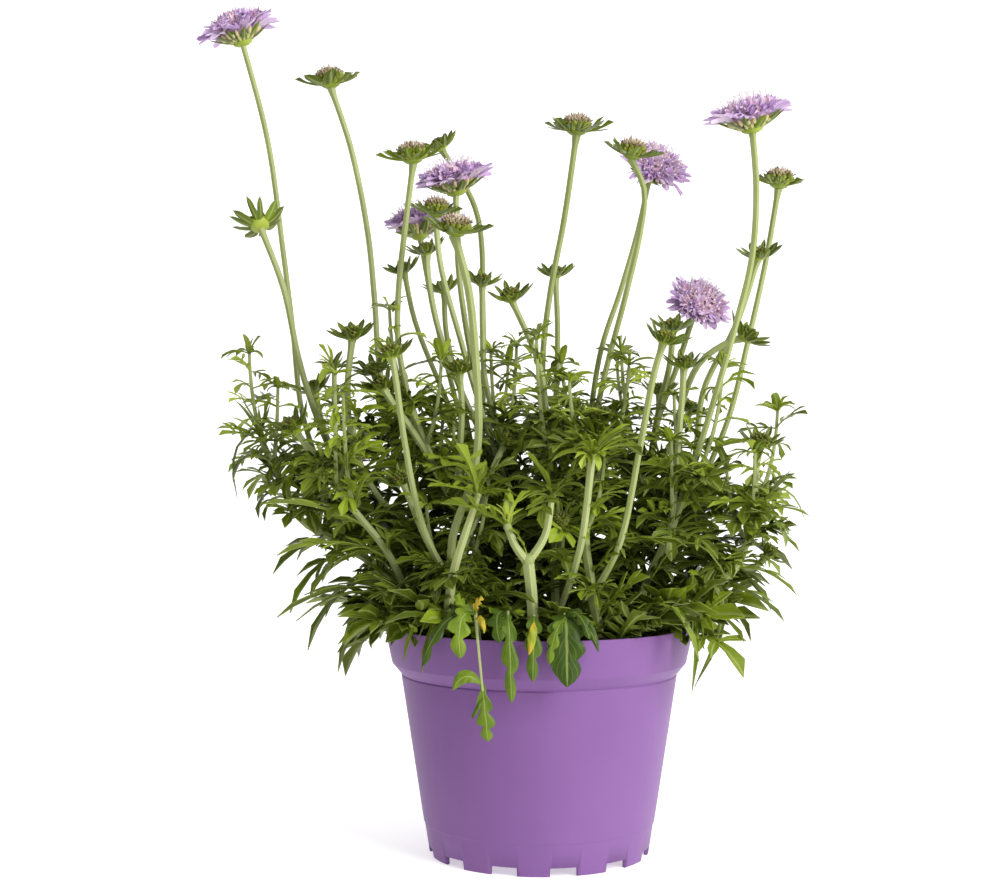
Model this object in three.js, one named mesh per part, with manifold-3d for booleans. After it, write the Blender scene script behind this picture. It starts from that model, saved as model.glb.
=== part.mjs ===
// Potted butterfly blue pincushion flower: a scabiosa in a 13 cm plastic nursery pot.
// Millimetres, +Z up, with the origin at the centre of the pot's base.
import * as THREE from 'three';
import { mergeVertices } from 'three/addons/utils/BufferGeometryUtils.js';
import Module from 'manifold-3d';

// Driving dimensions of the pot
const POT_HEIGHT = 95.4;
const RIM_RADIUS = 65;
const RIM_FOOT_RADIUS = 61.8;
const RIM_FOOT_HEIGHT = 80;
const SHOULDER_RADIUS = 58;
const SHOULDER_HEIGHT = 75.5;
const BASE_RADIUS = 46;
const STEP_HEIGHT = 13;
const STEP_DEPTH = 0.4;
const WALL = 1.4;
const FLOOR_HEIGHT = 4;
const FLOOR_THICKNESS = 1.6;
const FOOT_PAD_RADIUS = 20;
const NOTCH_COUNT = 12;
const NOTCH_WIDTH = 11;
const NOTCH_HEIGHT = 3.6;
const NOTCH_TURN = 11;
const POT_SIDES = 24;

// Driving dimensions of the soil and of the holes that the stems stand in
const SOIL_HEIGHT = 88;
const SOIL_CROWN = 1.5;
const SOIL_SIDES = 12;
const SOIL_GAP = 0.3;
const HOLE_DEPTH = 10;
const HOLE_SIDES = 4;
const HOLE_CLEARANCE = 0.7;

// Driving dimensions of the plant
const STEM_SIDES = 5;
const STALK_RADIUS = 1.25;
const BLADE_THICKNESS = 0.65;
const LEAF_CLEARANCE = 0.3;
const BRACT_COUNT = 7;
const STALK_SIDES = 4;
const STALK_STEP = 44;
const PETAL_COUNT = 8;
const FLORET_GAP = 0.35;
const PETIOLE_RADIUS = 0.9;
const PETIOLE_END = 0.6;
const STEM_TAPER = 0.2;
const ROOT_GAP = 0.3;
const COLLAR_HEIGHT = 1.5;
const LEAF_FOLD = 0.2;

// How leaves are drawn at random: seeds apart for each stem and leaf, and tries before one is left out
const STEM_SEEDS = 10000;
const LEAF_SEEDS = 100;
const MAX_DRAWS = 60;

// Colours
const POT_PURPLE = 0x9368ab;
const SOIL_BROWN = 0x2a211b;
const LEAF_GREEN = 0x557a2c;
const YOUNG_GREEN = 0x8fae32;
const PETAL_LAVENDER = 0xa487cf;
const SEED_BROWN = 0xb08a80;

const UP = new THREE.Vector3(0, 0, 1);
const wasm = await Module();
wasm.setup();

// Closed meshes in and out of the solid form that joins and cuts them

function weld(geometry) {
  const bare = geometry.clone();
  bare.deleteAttribute('normal');
  bare.deleteAttribute('uv');
  const merged = mergeVertices(bare, 1e-4);
  const index = merged.index.array;
  const kept = [];
  for (let i = 0; i < index.length; i += 3) {
    const [a, b, c] = [index[i], index[i + 1], index[i + 2]];
    if (a !== b && b !== c && c !== a) kept.push(a, b, c);
  }
  merged.setIndex(kept);
  return merged;
}

function toSolid(geometry) {
  const merged = weld(geometry);
  return new wasm.Manifold(new wasm.Mesh({
    numProp: 3,
    vertProperties: Float32Array.from(merged.attributes.position.array),
    triVerts: Uint32Array.from(merged.index.array),
  }));
}

function join(solids) {
  return solids.reduce((sum, next) => sum.add(next));
}

// The outer skin alone: hollows that joining sealed are filled, and loose scraps are dropped
function outerSkin(positions, triangles) {
  const parent = Array.from({ length: positions.length / 3 }, (_, i) => i);
  const find = (i) => {
    while (parent[i] !== i) {
      parent[i] = parent[parent[i]];
      i = parent[i];
    }
    return i;
  };
  for (let i = 0; i < triangles.length; i += 3) {
    parent[find(triangles[i])] = find(triangles[i + 1]);
    parent[find(triangles[i + 1])] = find(triangles[i + 2]);
  }
  const shells = new Map();
  const [a, b, c] = [new THREE.Vector3(), new THREE.Vector3(), new THREE.Vector3()];
  for (let i = 0; i < triangles.length; i += 3) {
    const root = find(triangles[i]);
    const shell = shells.get(root) ?? { volume: 0, index: [] };
    a.fromArray(positions, triangles[i] * 3);
    b.fromArray(positions, triangles[i + 1] * 3);
    c.fromArray(positions, triangles[i + 2] * 3);
    shell.volume += a.dot(b.cross(c)) / 6;
    shell.index.push(triangles[i], triangles[i + 1], triangles[i + 2]);
    shells.set(root, shell);
  }
  return [...shells.values()].reduce((best, shell) => (shell.volume > best.volume ? shell : best)).index;
}

function toGeometry(solid) {
  const mesh = solid.getMesh();
  const geometry = new THREE.BufferGeometry();
  geometry.setAttribute('position', new THREE.Float32BufferAttribute(mesh.vertProperties, 3));
  geometry.setIndex(outerSkin(mesh.vertProperties, mesh.triVerts));
  geometry.computeVertexNormals();
  return geometry;
}

// A seeded draw between 0 and 1: the same seed always gives the same run of draws
function seededDraws(seed) {
  let state = seed >>> 0;
  return () => {
    state = (state + 0x6d2b79f5) >>> 0;
    let t = state;
    t = Math.imul(t ^ (t >>> 15), t | 1);
    t ^= t + Math.imul(t ^ (t >>> 7), t | 61);
    return ((t ^ (t >>> 14)) >>> 0) / 4294967296;
  };
}

// A closed tube through the points, with a radius at each, turned along its run without twist
function tube(points, radii, sides) {
  const last = points.length - 1;
  const geometry = new THREE.CylinderGeometry(1, 1, 1, sides, last);
  const tangents = points.map((_, i) => {
    const before = points[Math.max(i - 1, 0)];
    const after = points[Math.min(i + 1, last)];
    return new THREE.Vector3().subVectors(after, before).normalize();
  });
  const side = new THREE.Vector3(1, 0, 0);
  const frames = tangents.map((tangent) => {
    side.addScaledVector(tangent, -side.dot(tangent)).normalize();
    return { side: side.clone(), across: new THREE.Vector3().crossVectors(side, tangent) };
  });
  const position = geometry.attributes.position;
  for (let i = 0; i < position.count; i += 1) {
    const ring = Math.round((position.getY(i) + 0.5) * last);
    const { side: u, across: w } = frames[ring];
    const point = points[ring].clone();
    point.addScaledVector(u, position.getX(i) * radii[ring]);
    point.addScaledVector(w, position.getZ(i) * radii[ring]);
    position.setXYZ(i, point.x, point.y, point.z);
  }
  return toSolid(geometry);
}

// A profile of radius and height pairs turned about the Z axis
function lathe(profile, sides) {
  const points = profile.map(([radius, height]) => new THREE.Vector2(Math.max(radius, 0), height));
  return new THREE.LatheGeometry(points, sides).rotateX(Math.PI / 2);
}

// A smooth run of points through the given ones
function smoothRun(points, steps) {
  return new THREE.CatmullRomCurve3(points, false, 'centripetal').getSpacedPoints(steps);
}

// Turns a shape that stands on the XY plane to face a direction, at a place
function faceAt(geometry, place, facing) {
  const turn = new THREE.Quaternion().setFromUnitVectors(UP, facing);
  return geometry.applyQuaternion(turn).translate(place.x, place.y, place.z);
}

// The edge of a cut leaf, across in mm and along from 0 to 1: narrow pointed lobes in pairs on a thin rib
function leafEdge({ lobes, width, rib = 0.75 }) {
  const right = [];
  if (lobes === 0) {
    right.push([width * 0.8, 0.3], [width, 0.6]);
  } else {
    const first = 0.22;
    const pitch = (0.8 - first) / lobes;
    right.push([rib, first]);
    for (let k = 0; k < lobes; k += 1) {
      const reach = width * (k === 0 ? 0.75 : 1) * (k === lobes - 1 && lobes > 2 ? 0.85 : 1);
      const start = first + pitch * k;
      right.push([reach, start + pitch * 0.95]);
      right.push([rib + 0.35, start + pitch * 0.8]);
    }
  }
  const left = right.map(([across, along]) => [-across, along]).reverse();
  return [[0, 0], ...right, [0, 1], ...left];
}

// A thin blade with the given edge, bent along an arched rib from its base to its tip
function blade(edge, base, middle, tip, { roll = 0, fold = LEAF_FOLD } = {}) {
  const shape = new THREE.Shape(edge.map(([across, along]) => new THREE.Vector2(across, along)));
  const geometry = new THREE.ExtrudeGeometry(shape, { depth: 1, bevelEnabled: false });
  const rib = new THREE.QuadraticBezierCurve3(base, middle, tip);
  const chord = new THREE.Vector3().subVectors(tip, base);
  const flat = new THREE.Vector3().crossVectors(chord, UP).normalize();
  const position = geometry.attributes.position;
  for (let i = 0; i < position.count; i += 1) {
    const across = position.getX(i);
    const along = position.getY(i);
    const tangent = rib.getTangent(along);
    const side = flat.clone().addScaledVector(tangent, -flat.dot(tangent)).normalize();
    side.applyAxisAngle(tangent, roll);
    const normal = new THREE.Vector3().crossVectors(side, tangent);
    const lift = (position.getZ(i) - 0.5) * BLADE_THICKNESS + Math.abs(across) * fold;
    const point = rib.getPoint(along).addScaledVector(side, across).addScaledVector(normal, lift);
    position.setXYZ(i, point.x, point.y, point.z);
  }
  return toSolid(geometry);
}

// Pot: one moulded shell with a deep lip, a stepped foot, drain notches round the foot and drain holes
function potSolid() {
  const inner = FLOOR_HEIGHT + FLOOR_THICKNESS;
  const slope = (SHOULDER_RADIUS - BASE_RADIUS) / SHOULDER_HEIGHT;
  const outerAt = (height) => BASE_RADIUS + slope * height;
  const profile = [
    [0, 0],
    [FOOT_PAD_RADIUS, 0],
    [FOOT_PAD_RADIUS + 3, FLOOR_HEIGHT],
    [BASE_RADIUS - WALL, FLOOR_HEIGHT],
    [BASE_RADIUS - WALL - 0.2, 0],
    [BASE_RADIUS, 0],
    [outerAt(STEP_HEIGHT), STEP_HEIGHT],
    [outerAt(STEP_HEIGHT) + STEP_DEPTH, STEP_HEIGHT + STEP_DEPTH],
    [SHOULDER_RADIUS, SHOULDER_HEIGHT],
    [RIM_FOOT_RADIUS, RIM_FOOT_HEIGHT],
    [RIM_RADIUS, POT_HEIGHT],
    [RIM_RADIUS - WALL, POT_HEIGHT],
    [RIM_FOOT_RADIUS - WALL, RIM_FOOT_HEIGHT + 0.6],
    [SHOULDER_RADIUS - WALL, SHOULDER_HEIGHT + 0.6],
    [outerAt(inner) - WALL, inner],
    [FOOT_PAD_RADIUS + 2.2, inner],
    [FOOT_PAD_RADIUS - 0.8, FLOOR_THICKNESS],
    [0, FLOOR_THICKNESS],
  ];
  let pot = toSolid(lathe(profile, POT_SIDES));
  for (let i = 0; i < NOTCH_COUNT; i += 1) {
    const turn = THREE.MathUtils.degToRad(NOTCH_TURN + (360 / NOTCH_COUNT) * i - 90);
    const notch = new THREE.BoxGeometry(8, NOTCH_WIDTH, NOTCH_HEIGHT * 2);
    notch.translate(BASE_RADIUS, 0, 0).rotateZ(turn);
    pot = pot.subtract(toSolid(notch));
    if (i % 2 === 0) {
      const hole = new THREE.BoxGeometry(6, 7, 8);
      hole.translate(BASE_RADIUS - 10, 0, inner).rotateZ(turn);
      pot = pot.subtract(toSolid(hole));
    }
  }
  return pot;
}

// Soil: fills the pot to just under its rim, with a plain hole for each stem
function soilSolid(roots) {
  const inner = FLOOR_HEIGHT + FLOOR_THICKNESS + SOIL_GAP;
  const slope = (SHOULDER_RADIUS - BASE_RADIUS) / SHOULDER_HEIGHT;
  const inside = WALL + SOIL_GAP + 0.1;
  const lipSlope = (RIM_RADIUS - RIM_FOOT_RADIUS) / (POT_HEIGHT - RIM_FOOT_HEIGHT);
  const profile = [
    [0, FLOOR_THICKNESS + SOIL_GAP],
    [FOOT_PAD_RADIUS - 1.2, FLOOR_THICKNESS + SOIL_GAP],
    [FOOT_PAD_RADIUS + 1.8, inner],
    [BASE_RADIUS + slope * inner - inside, inner],
    [SHOULDER_RADIUS - inside - 0.1, SHOULDER_HEIGHT + 0.6],
    [RIM_FOOT_RADIUS - inside - 0.2, RIM_FOOT_HEIGHT + 0.6],
    [RIM_FOOT_RADIUS + lipSlope * (SOIL_HEIGHT - RIM_FOOT_HEIGHT) - inside - 0.2, SOIL_HEIGHT],
    [0, SOIL_HEIGHT + SOIL_CROWN],
  ];
  let soil = toSolid(lathe(profile, SOIL_SIDES));
  for (const { x, y, radius } of roots) {
    const wide = (radius + HOLE_CLEARANCE) / Math.cos(Math.PI / HOLE_SIDES);
    const hole = new THREE.CylinderGeometry(wide, wide, HOLE_DEPTH + 20, HOLE_SIDES).rotateX(Math.PI / 2);
    hole.translate(x, y, SOIL_HEIGHT - HOLE_DEPTH + (HOLE_DEPTH + 20) / 2);
    soil = soil.subtract(toSolid(hole));
  }
  return soil;
}

// A ring of bracts or petals as one thin blade: each repeat has the same cut edge, given as shares of its
// turn and of the reach, and the blade rises and dips with the distance from the middle
function ringBlade({ count, reach, edge, levelAt }) {
  const points = [];
  for (let i = 0; i < count; i += 1) {
    const long = reach(i);
    for (const [share, out] of edge) {
      const turn = ((i + share) / count) * Math.PI * 2;
      points.push(new THREE.Vector2(Math.cos(turn) * out * long, Math.sin(turn) * out * long));
    }
  }
  const geometry = new THREE.ExtrudeGeometry(new THREE.Shape(points), { depth: 1, bevelEnabled: false });
  const position = geometry.attributes.position;
  for (let i = 0; i < position.count; i += 1) {
    const [x, y] = [position.getX(i), position.getY(i)];
    const turn = Math.atan2(y, x) / (Math.PI * 2);
    const level = levelAt(Math.hypot(x, y), (turn < 0 ? turn + 1 : turn) * count);
    position.setZ(i, level + (position.getZ(i) - 0.5) * BLADE_THICKNESS);
  }
  return geometry;
}

// The green cup under a flower head: a receptacle drawn out into a ring of pointed bracts, with a low dome
// in its mouth
function involucre({ place, facing, reach, bracts, lift, cup, dome }) {
  const profile = [
    [0, -2.6],
    [cup, 0.4],
    [cup * 0.9, 0.8 + dome * 0.5],
    [0, 0.8 + dome],
  ];
  const geometry = lathe(profile, bracts * 2);
  const position = geometry.attributes.position;
  for (let i = 0; i < position.count; i += 1) {
    const [x, y, z] = [position.getX(i), position.getY(i), position.getZ(i)];
    const corner = Math.round((Math.atan2(y, x) / Math.PI) * bracts + bracts * 2);
    if (corner % 2 === 1 && Math.abs(z - 0.4) < 1e-6) {
      const long = reach * (corner % 4 === 1 ? 1 : 0.86);
      position.setXYZ(i, (x / cup) * long, (y / cup) * long, z + lift * (long - cup));
    }
  }
  return toSolid(faceAt(geometry, place, facing));
}

// The purple part of a bloom: a domed middle of small florets over two layers of frilled petals
const OUTER_PETAL = [[0, 0.36], [0.16, 0.86], [0.3, 0.8], [0.5, 1], [0.7, 0.8], [0.84, 0.86]];
const UPPER_PETAL = [[0, 0.5], [0.3, 0.96], [0.7, 1]];

function bloomSolid({ place, facing, size }) {
  const core = size * 0.42;
  const rings = 3;
  const profile = [[0, 1.2]];
  for (let i = 0; i <= rings; i += 1) {
    const angle = ((i / rings) * Math.PI) / 2;
    profile.push([core * Math.cos(angle), 3 + core * 0.55 * Math.sin(angle)]);
  }
  const dome = lathe(profile, 8);
  const low = FLORET_GAP + BLADE_THICKNESS / 2;
  const outer = ringBlade({
    count: PETAL_COUNT,
    reach: (i) => size * (i % 2 === 0 ? 1 : 0.93),
    edge: OUTER_PETAL,
    levelAt: (radius, turn) => low + (1.6 + 0.5 * Math.sin(turn * Math.PI * 2)) * (radius / size),
  });
  const upper = ringBlade({
    count: PETAL_COUNT,
    reach: (i) => size * (i % 2 === 0 ? 0.76 : 0.7),
    edge: UPPER_PETAL,
    levelAt: (radius) => low + 1.5 + 3.2 * (radius / size),
  });
  return join([dome, outer, upper].map((part) => toSolid(faceAt(part, place, facing))));
}

// The pink-brown dome of a spent head, a button set with stubby bristles
function seedDomeSolid({ place, facing, size }) {
  const base = size * 0.52;
  const rings = 4;
  const sides = 10;
  const profile = [[0, FLORET_GAP], [base * 0.86, FLORET_GAP]];
  for (let i = 0; i <= rings; i += 1) {
    const angle = ((i / rings) * Math.PI) / 2;
    profile.push([base * Math.cos(angle), 1.2 + size * 0.36 * Math.sin(angle)]);
  }
  const dome = lathe(profile, sides);
  const position = dome.attributes.position;
  for (let i = 0; i < position.count; i += 1) {
    const [x, y, z] = [position.getX(i), position.getY(i), position.getZ(i)];
    const column = Math.round((Math.atan2(y, x) / (Math.PI * 2)) * sides + sides);
    const row = Math.round((z / size) * 10);
    const bump = z > 1 && Math.hypot(x, y) > 0.5 && (column + row) % 2 === 0 ? 1.1 : 1;
    position.setXYZ(i, x * bump, y * bump, z);
  }
  return toSolid(faceAt(dome, place, facing));
}

// Where each flower head stands, which way it faces and how far it reaches from its middle
const bloomHeads = {
  bloom_1: { at: [-127, 0, 347], faces: [-0.3, -0.12, 0.94], size: 19 },
  bloom_2: { at: [88, -10, 305], faces: [-0.2, -0.1, 0.97], size: 20 },
  bloom_3: { at: [-36, 15, 284], faces: [-0.2, -0.1, 0.97], size: 19.5 },
  bloom_4: { at: [-53, 45, 268], faces: [-0.15, 0.1, 0.97], size: 16 },
  bloom_5: { at: [50, 25, 290], faces: [0.35, -0.6, 0.72], size: 18.5 },
  bloom_6: { at: [69, 21, 230], faces: [0.3, -0.72, 0.62], size: 16.5 },
};
const discHeads = {
  seed_disc_1: { at: [-89, 10, 326], faces: [-0.12, -0.1, 0.98], size: 13.5 },
  seed_disc_2: { at: [-52, -25, 288], faces: [-0.1, -0.12, 0.98], size: 13.5 },
  seed_disc_3: { at: [-34, -45, 256], faces: [0.15, -0.25, 0.95], size: 13.5 },
  seed_disc_4: { at: [-43, -10, 268], faces: [0.1, -0.1, 0.98], size: 11 },
  seed_disc_5: { at: [16, 0, 304], faces: [0.05, -0.12, 0.98], size: 13.5 },
  seed_disc_6: { at: [39, -5, 293], faces: [0.2, -0.12, 0.96], size: 12.5 },
  seed_disc_7: { at: [103, 10, 283], faces: [0.1, -0.1, 0.98], size: 13 },
};

// The plant: each leafy stem with its way up from the soil, its flower stalks and its leaves.
// A stalk leaves the stem at a share of its run and ends in a bloom, a seed disc or a green star bud.
// An open leaf is given as its place on the stem, its tip, how far its rib arches up, its lobes and width.
const leafyStems = [
  {
    name: 'leafy_stem_01', root: [-44, -6], radius: 1.7,
    run: [
      [-54, -6, 109], [-67, -6, 119], [-85, -6, 131],
      [-100, -8, 140], [-108, -8, 156], [-116, -8, 173],
    ],
    stalks: [
      {
        from: 0.48, way: [[-92, 4, 158], [-101, 9, 185], [-105, 10, 220], [-109, 8, 254], [-115, 4, 300]],
        bloom: 'bloom_1',
      },
    ],
    open: [
      [0.98, [-134, -12, 178], 5, 2, 5], [0.95, [-126, -14, 189], 4, 0, 2.6], [1, [-114, -4, 190], 2, 1, 4],
      [0.8, [-126, -12, 160], 6, 2, 5], [0.62, [-112, -26, 146], 6, 2, 5], [0.75, [-123, 3, 170], 5, 2, 5],
    ],
    leaves: 3, span: [0.15, 0.7], length: [30, 44],
  },
  {
    name: 'leafy_stem_02', root: [-34, 16], radius: 1.7,
    run: [[-42, 18, 105], [-59, 16, 119], [-74, 12, 139], [-87, 8, 164]],
    stalks: [
      {
        from: 0.97, way: [[-95, 0, 186], [-101, -3, 207], [-107, -5, 236]],
        star: [-117, -6, 263], faces: [-0.7, -0.3, 0.65], size: 10,
      },
      {
        from: 0.7, way: [[-84, 18, 158], [-93, 20, 178]],
        star: [-97, 20, 195], faces: [-0.4, 0, 0.9], size: 9,
      },
    ],
    open: [[0.75, [-106, 36, 142], 12, 3, 8]],
    leaves: 5, span: [0.2, 0.95], length: [34, 52],
  },
  {
    name: 'leafy_stem_03', root: [-40, -26], radius: 1.7,
    run: [[-50, -28, 104], [-64, -31, 131], [-79, -31, 149], [-89, -31, 163]],
    stalks: [
      {
        from: 0.98, way: [[-95, -31, 171]],
        star: [-100, -31, 178], faces: [-0.6, -0.3, 0.75], size: 10,
      },
    ],
    open: [
      [0.62, [-112, -34, 148], 8, 2, 6], [0.45, [-106, -36, 127], 12, 3, 7],
      [0.25, [-107, -32, 102], 16, 2, 5], [0.14, [-98, -36, 100], 22, 0, 3],
      [0.08, [-81, -42, 92], 12, 3, 6],
    ],
    leaves: 3, span: [0.25, 0.9], length: [30, 44],
  },
  {
    name: 'leafy_stem_04', root: [-24, 2], radius: 1.8,
    run: [[-29, 2, 107], [-42, 0, 124], [-52, 2, 147], [-63, 6, 177]],
    stalks: [
      {
        from: 0.98, way: [[-68, 9, 205], [-70, 9, 233], [-73, 9, 262], [-80, 9, 297]],
        disc: 'seed_disc_1',
      },
      {
        from: 0.5, way: [[-66, -12, 148], [-77, -17, 172], [-79, -19, 193]],
        star: [-77, -20, 216], faces: [-0.1, -0.3, 0.95], size: 9.5,
      },
      {
        from: 0.8, way: [[-64, -2, 178], [-67, -7, 192]],
        star: [-69, -8, 202], faces: [-0.2, -0.4, 0.85], size: 8.5,
      },
    ],
    open: [],
    leaves: 5, span: [0.15, 0.95], length: [34, 52],
  },
  {
    name: 'leafy_stem_05', root: [-18, -36], radius: 2,
    run: [[-21, -37, 98], [-29, -39, 107], [-38, -41, 119]],
    stalks: [
      {
        from: 0.96, way: [[-44, -43, 131], [-49, -45, 146], [-54, -49, 173], [-57, -51, 195]],
        star: [-59, -51, 207], faces: [-0.15, -0.3, 0.9], size: 9,
      },
      {
        from: 0.62, way: [[-31, -36, 128], [-25, -31, 143], [-21, -25, 157]],
        star: [-14, -16, 172], faces: [0.4, -0.2, 0.85], size: 9,
      },
      {
        from: 0.9, way: [[-35, -44, 135], [-28, -47, 155], [-25, -47, 173], [-26, -47, 205], [-29, -47, 233]],
        disc: 'seed_disc_3', radius: 1.6,
      },
      {
        from: 0.98, way: [[-46, -38, 133], [-52, -35, 147]],
        star: [-56, -34, 157], faces: [-0.3, -0.4, 0.8], size: 8.5,
      },
    ],
    open: [[0.9, [-56, -46, 86], 16, 1, 4], [0.75, [-48, -55, 82], 20, 1, 4]],
    leaves: 4, span: [0.3, 1], length: [28, 42],
  },
  {
    name: 'leafy_stem_06', root: [-10, -12], radius: 1.8,
    run: [[-18, -14, 109], [-32, -17, 139], [-44, -18, 164], [-54, -19, 188]],
    stalks: [
      { from: 0.98, way: [[-58, -20, 211], [-58, -22, 232], [-55, -24, 260]], disc: 'seed_disc_2' },
      {
        from: 0.72, way: [[-53, -26, 178], [-60, -31, 188]],
        star: [-64, -33, 195], faces: [-0.3, -0.3, 0.85], size: 8.5,
      },
      {
        from: 0.48, way: [[-33, -22, 160], [-32, -22, 185]],
        star: [-33, -21, 202], faces: [0, -0.2, 0.95], size: 9,
      },
    ],
    open: [],
    leaves: 4, span: [0.15, 0.95], length: [30, 48],
  },
  {
    name: 'leafy_stem_07', root: [-16, 32], radius: 1.8,
    run: [[-18, 34, 108], [-23, 36, 135], [-26, 34, 158]],
    stalks: [
      {
        from: 0.98, way: [[-24, 24, 185], [-30, 14, 215], [-34, 10, 244], [-35, 12, 264]],
        bloom: 'bloom_3',
      },
      { from: 0.85, way: [[-34, 43, 182], [-46, 47, 230]], bloom: 'bloom_4' },
      {
        from: 0.98, way: [[-24, 40, 190], [-24, 45, 230], [-27, 45, 275]],
        star: [-43, 36, 303], faces: [-0.4, -0.2, 0.9], size: 9,
      },
      {
        from: 0.9, way: [[-33, 32, 190], [-40, 28, 220]],
        star: [-41, 27, 239], faces: [-0.2, 0, 0.95], size: 8.5,
      },
      {
        from: 0.94, way: [[-40, 37, 190], [-54, 37, 225]],
        star: [-59, 33, 248], faces: [-0.3, -0.2, 0.9], size: 8,
      },
    ],
    open: [[0.6, [-58, 58, 140], 14, 3, 8]],
    leaves: 4, span: [0.15, 1], length: [34, 52],
  },
  {
    name: 'leafy_stem_08', root: [0, 12], radius: 1.9,
    run: [[-3, 14, 115], [-11, 13, 150], [-17, 13, 175]],
    stalks: [
      {
        from: 0.98, way: [[-23, 17, 200], [-24, 17, 222]],
        star: [-24, 16, 241], faces: [0.1, -0.2, 0.95], size: 8.5,
      },
      {
        from: 0.72, way: [[-29, 3, 185], [-42, 3, 218], [-47, 9, 242]],
        star: [-48, 12, 254], faces: [-0.2, -0.2, 0.95], size: 8.5,
      },
      { from: 0.6, way: [[-22, -2, 178], [-33, -8, 215], [-41, -11, 245]], disc: 'seed_disc_4' },
    ],
    open: [],
    leaves: 5, span: [0.15, 1], length: [34, 50],
  },
  {
    name: 'leafy_stem_09', root: [6, -26], radius: 1.9,
    run: [[6, -26, 105], [6, -25, 125], [5, -21, 155], [3, -17, 180]],
    stalks: [
      {
        from: 0.98, way: [[0, -15, 203]],
        star: [-12, -15, 232], faces: [-0.15, -0.3, 0.93], size: 9.5,
      },
      { from: 0.66, way: [[5, -10, 160]], star: [4, 0, 176], faces: [0.1, 0.3, 0.9], size: 9 },
      { from: 0.38, way: [[8, -34, 130]], star: [8, -44, 141], faces: [0, -0.7, 0.6], size: 7.5 },
    ],
    open: [],
    leaves: 5, span: [0.2, 0.95], length: [28, 44],
  },
  {
    name: 'leafy_stem_10', root: [10, 36], radius: 1.8,
    run: [[10, 35, 108], [8, 32, 132], [5, 26, 165]],
    stalks: [
      { from: 0.98, way: [[2, 17, 205], [5, 12, 235], [11, 8, 267]], disc: 'seed_disc_5' },
      {
        from: 0.8, way: [[8, 32, 185], [9, 32, 220]],
        star: [8, 31, 246], faces: [0, 0, 1], size: 8.5,
      },
    ],
    open: [[0.6, [30, 66, 145], 14, 3, 8], [0.4, [6, 74, 118], 18, 3, 8]],
    leaves: 5, span: [0.15, 1], length: [34, 52],
  },
  {
    name: 'leafy_stem_11', root: [20, 7], radius: 1.9,
    run: [[20, 7, 110], [20, 8, 140], [21, 11, 175]],
    stalks: [
      { from: 0.98, way: [[27, 15, 211], [36, 19, 238], [44, 24, 265]], bloom: 'bloom_5' },
      {
        from: 0.86, way: [[28, 5, 200], [37, 1, 235], [43, -1, 262], [44, -4, 278]],
        disc: 'seed_disc_6',
      },
    ],
    open: [],
    leaves: 6, span: [0.15, 0.98], length: [30, 50],
  },
  {
    name: 'leafy_stem_12', root: [24, -36], radius: 2.1,
    run: [[22, -36, 105], [18, -34, 130], [19, -30, 150], [23, -26, 172]],
    stalks: [
      { from: 0.98, way: [], star: [25, -22, 182], faces: [0, -0.2, 0.97], size: 11 },
      {
        from: 0.25, way: [[31, -41, 131], [39, -42, 169], [45, -42, 200]],
        star: [49, -42, 213], faces: [0.3, -0.3, 0.9], size: 9,
      },
    ],
    open: [],
    leaves: 5, span: [0.15, 0.9], length: [28, 44],
  },
  {
    name: 'leafy_stem_13', root: [34, 22], radius: 1.8,
    run: [[38, 22, 110], [43, 20, 135], [48, 17, 160]],
    stalks: [
      { from: 0.98, way: [[52, 22, 180], [62, 25, 208]], bloom: 'bloom_6' },
      {
        from: 0.7, way: [[56, 2, 160], [60, -4, 188], [67, -8, 205], [78, -9, 213]],
        star: [86, -10, 216], faces: [0.6, -0.2, 0.75], size: 10,
      },
      {
        from: 0.96, way: [[51, 6, 185], [55, -3, 205]],
        star: [56, -5, 220], faces: [0, -0.2, 0.97], size: 9,
      },
      { from: 0.98, way: [[51, 14, 178]], star: [52, 12, 194], faces: [0, -0.1, 0.99], size: 8 },
      { from: 0.9, way: [[58, 18, 172]], star: [66, 15, 186], faces: [0.4, -0.1, 0.9], size: 8.5 },
    ],
    open: [[0.6, [84, 48, 140], 16, 3, 8]],
    leaves: 4, span: [0.15, 0.95], length: [34, 50],
  },
  {
    name: 'leafy_stem_14', root: [38, -13], radius: 1.9,
    run: [[42, -13, 108], [52, -14, 130], [61, -18, 155]],
    stalks: [
      {
        from: 0.98, way: [[71, -23, 189], [79, -26, 218], [86, -25, 246], [89, -18, 275]],
        bloom: 'bloom_2',
      },
      {
        from: 0.7, way: [[56, -21, 165], [58, -22, 190]],
        star: [59, -21, 204], faces: [0, -0.3, 0.95], size: 8.5,
      },
    ],
    open: [],
    leaves: 5, span: [0.15, 0.98], length: [30, 48],
  },
  {
    name: 'leafy_stem_15', root: [47, 9], radius: 1.8,
    run: [[50, 9, 105], [57, 8, 125], [66, 9, 145]],
    stalks: [
      {
        from: 0.98, way: [[72, 14, 158], [82, 15, 182], [91, 18, 216], [99, 20, 251]],
        disc: 'seed_disc_7',
      },
      {
        from: 0.9, way: [[67, 5, 170], [70, 4, 194], [84, 5, 222]],
        star: [93, 2, 251], faces: [-0.1, -0.3, 0.95], size: 9,
      },
    ],
    open: [[0.9, [104, 26, 142], 14, 3, 8]],
    leaves: 5, span: [0.2, 1], length: [32, 48],
  },
  {
    name: 'leafy_stem_16', root: [50, -16], radius: 1.8,
    run: [[55, -17, 102], [64, -18, 108], [77, -17, 116], [86, -15, 132], [89, -13, 147]],
    stalks: [
      {
        from: 0.98, way: [[90, -11, 160]],
        star: [92, -11, 172], faces: [0.1, -0.3, 0.95], size: 9.5,
      },
      {
        from: 0.62, way: [[90, -10, 120]],
        star: [96, -9, 126], faces: [0.7, -0.2, 0.6], size: 7.5,
      },
    ],
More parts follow.
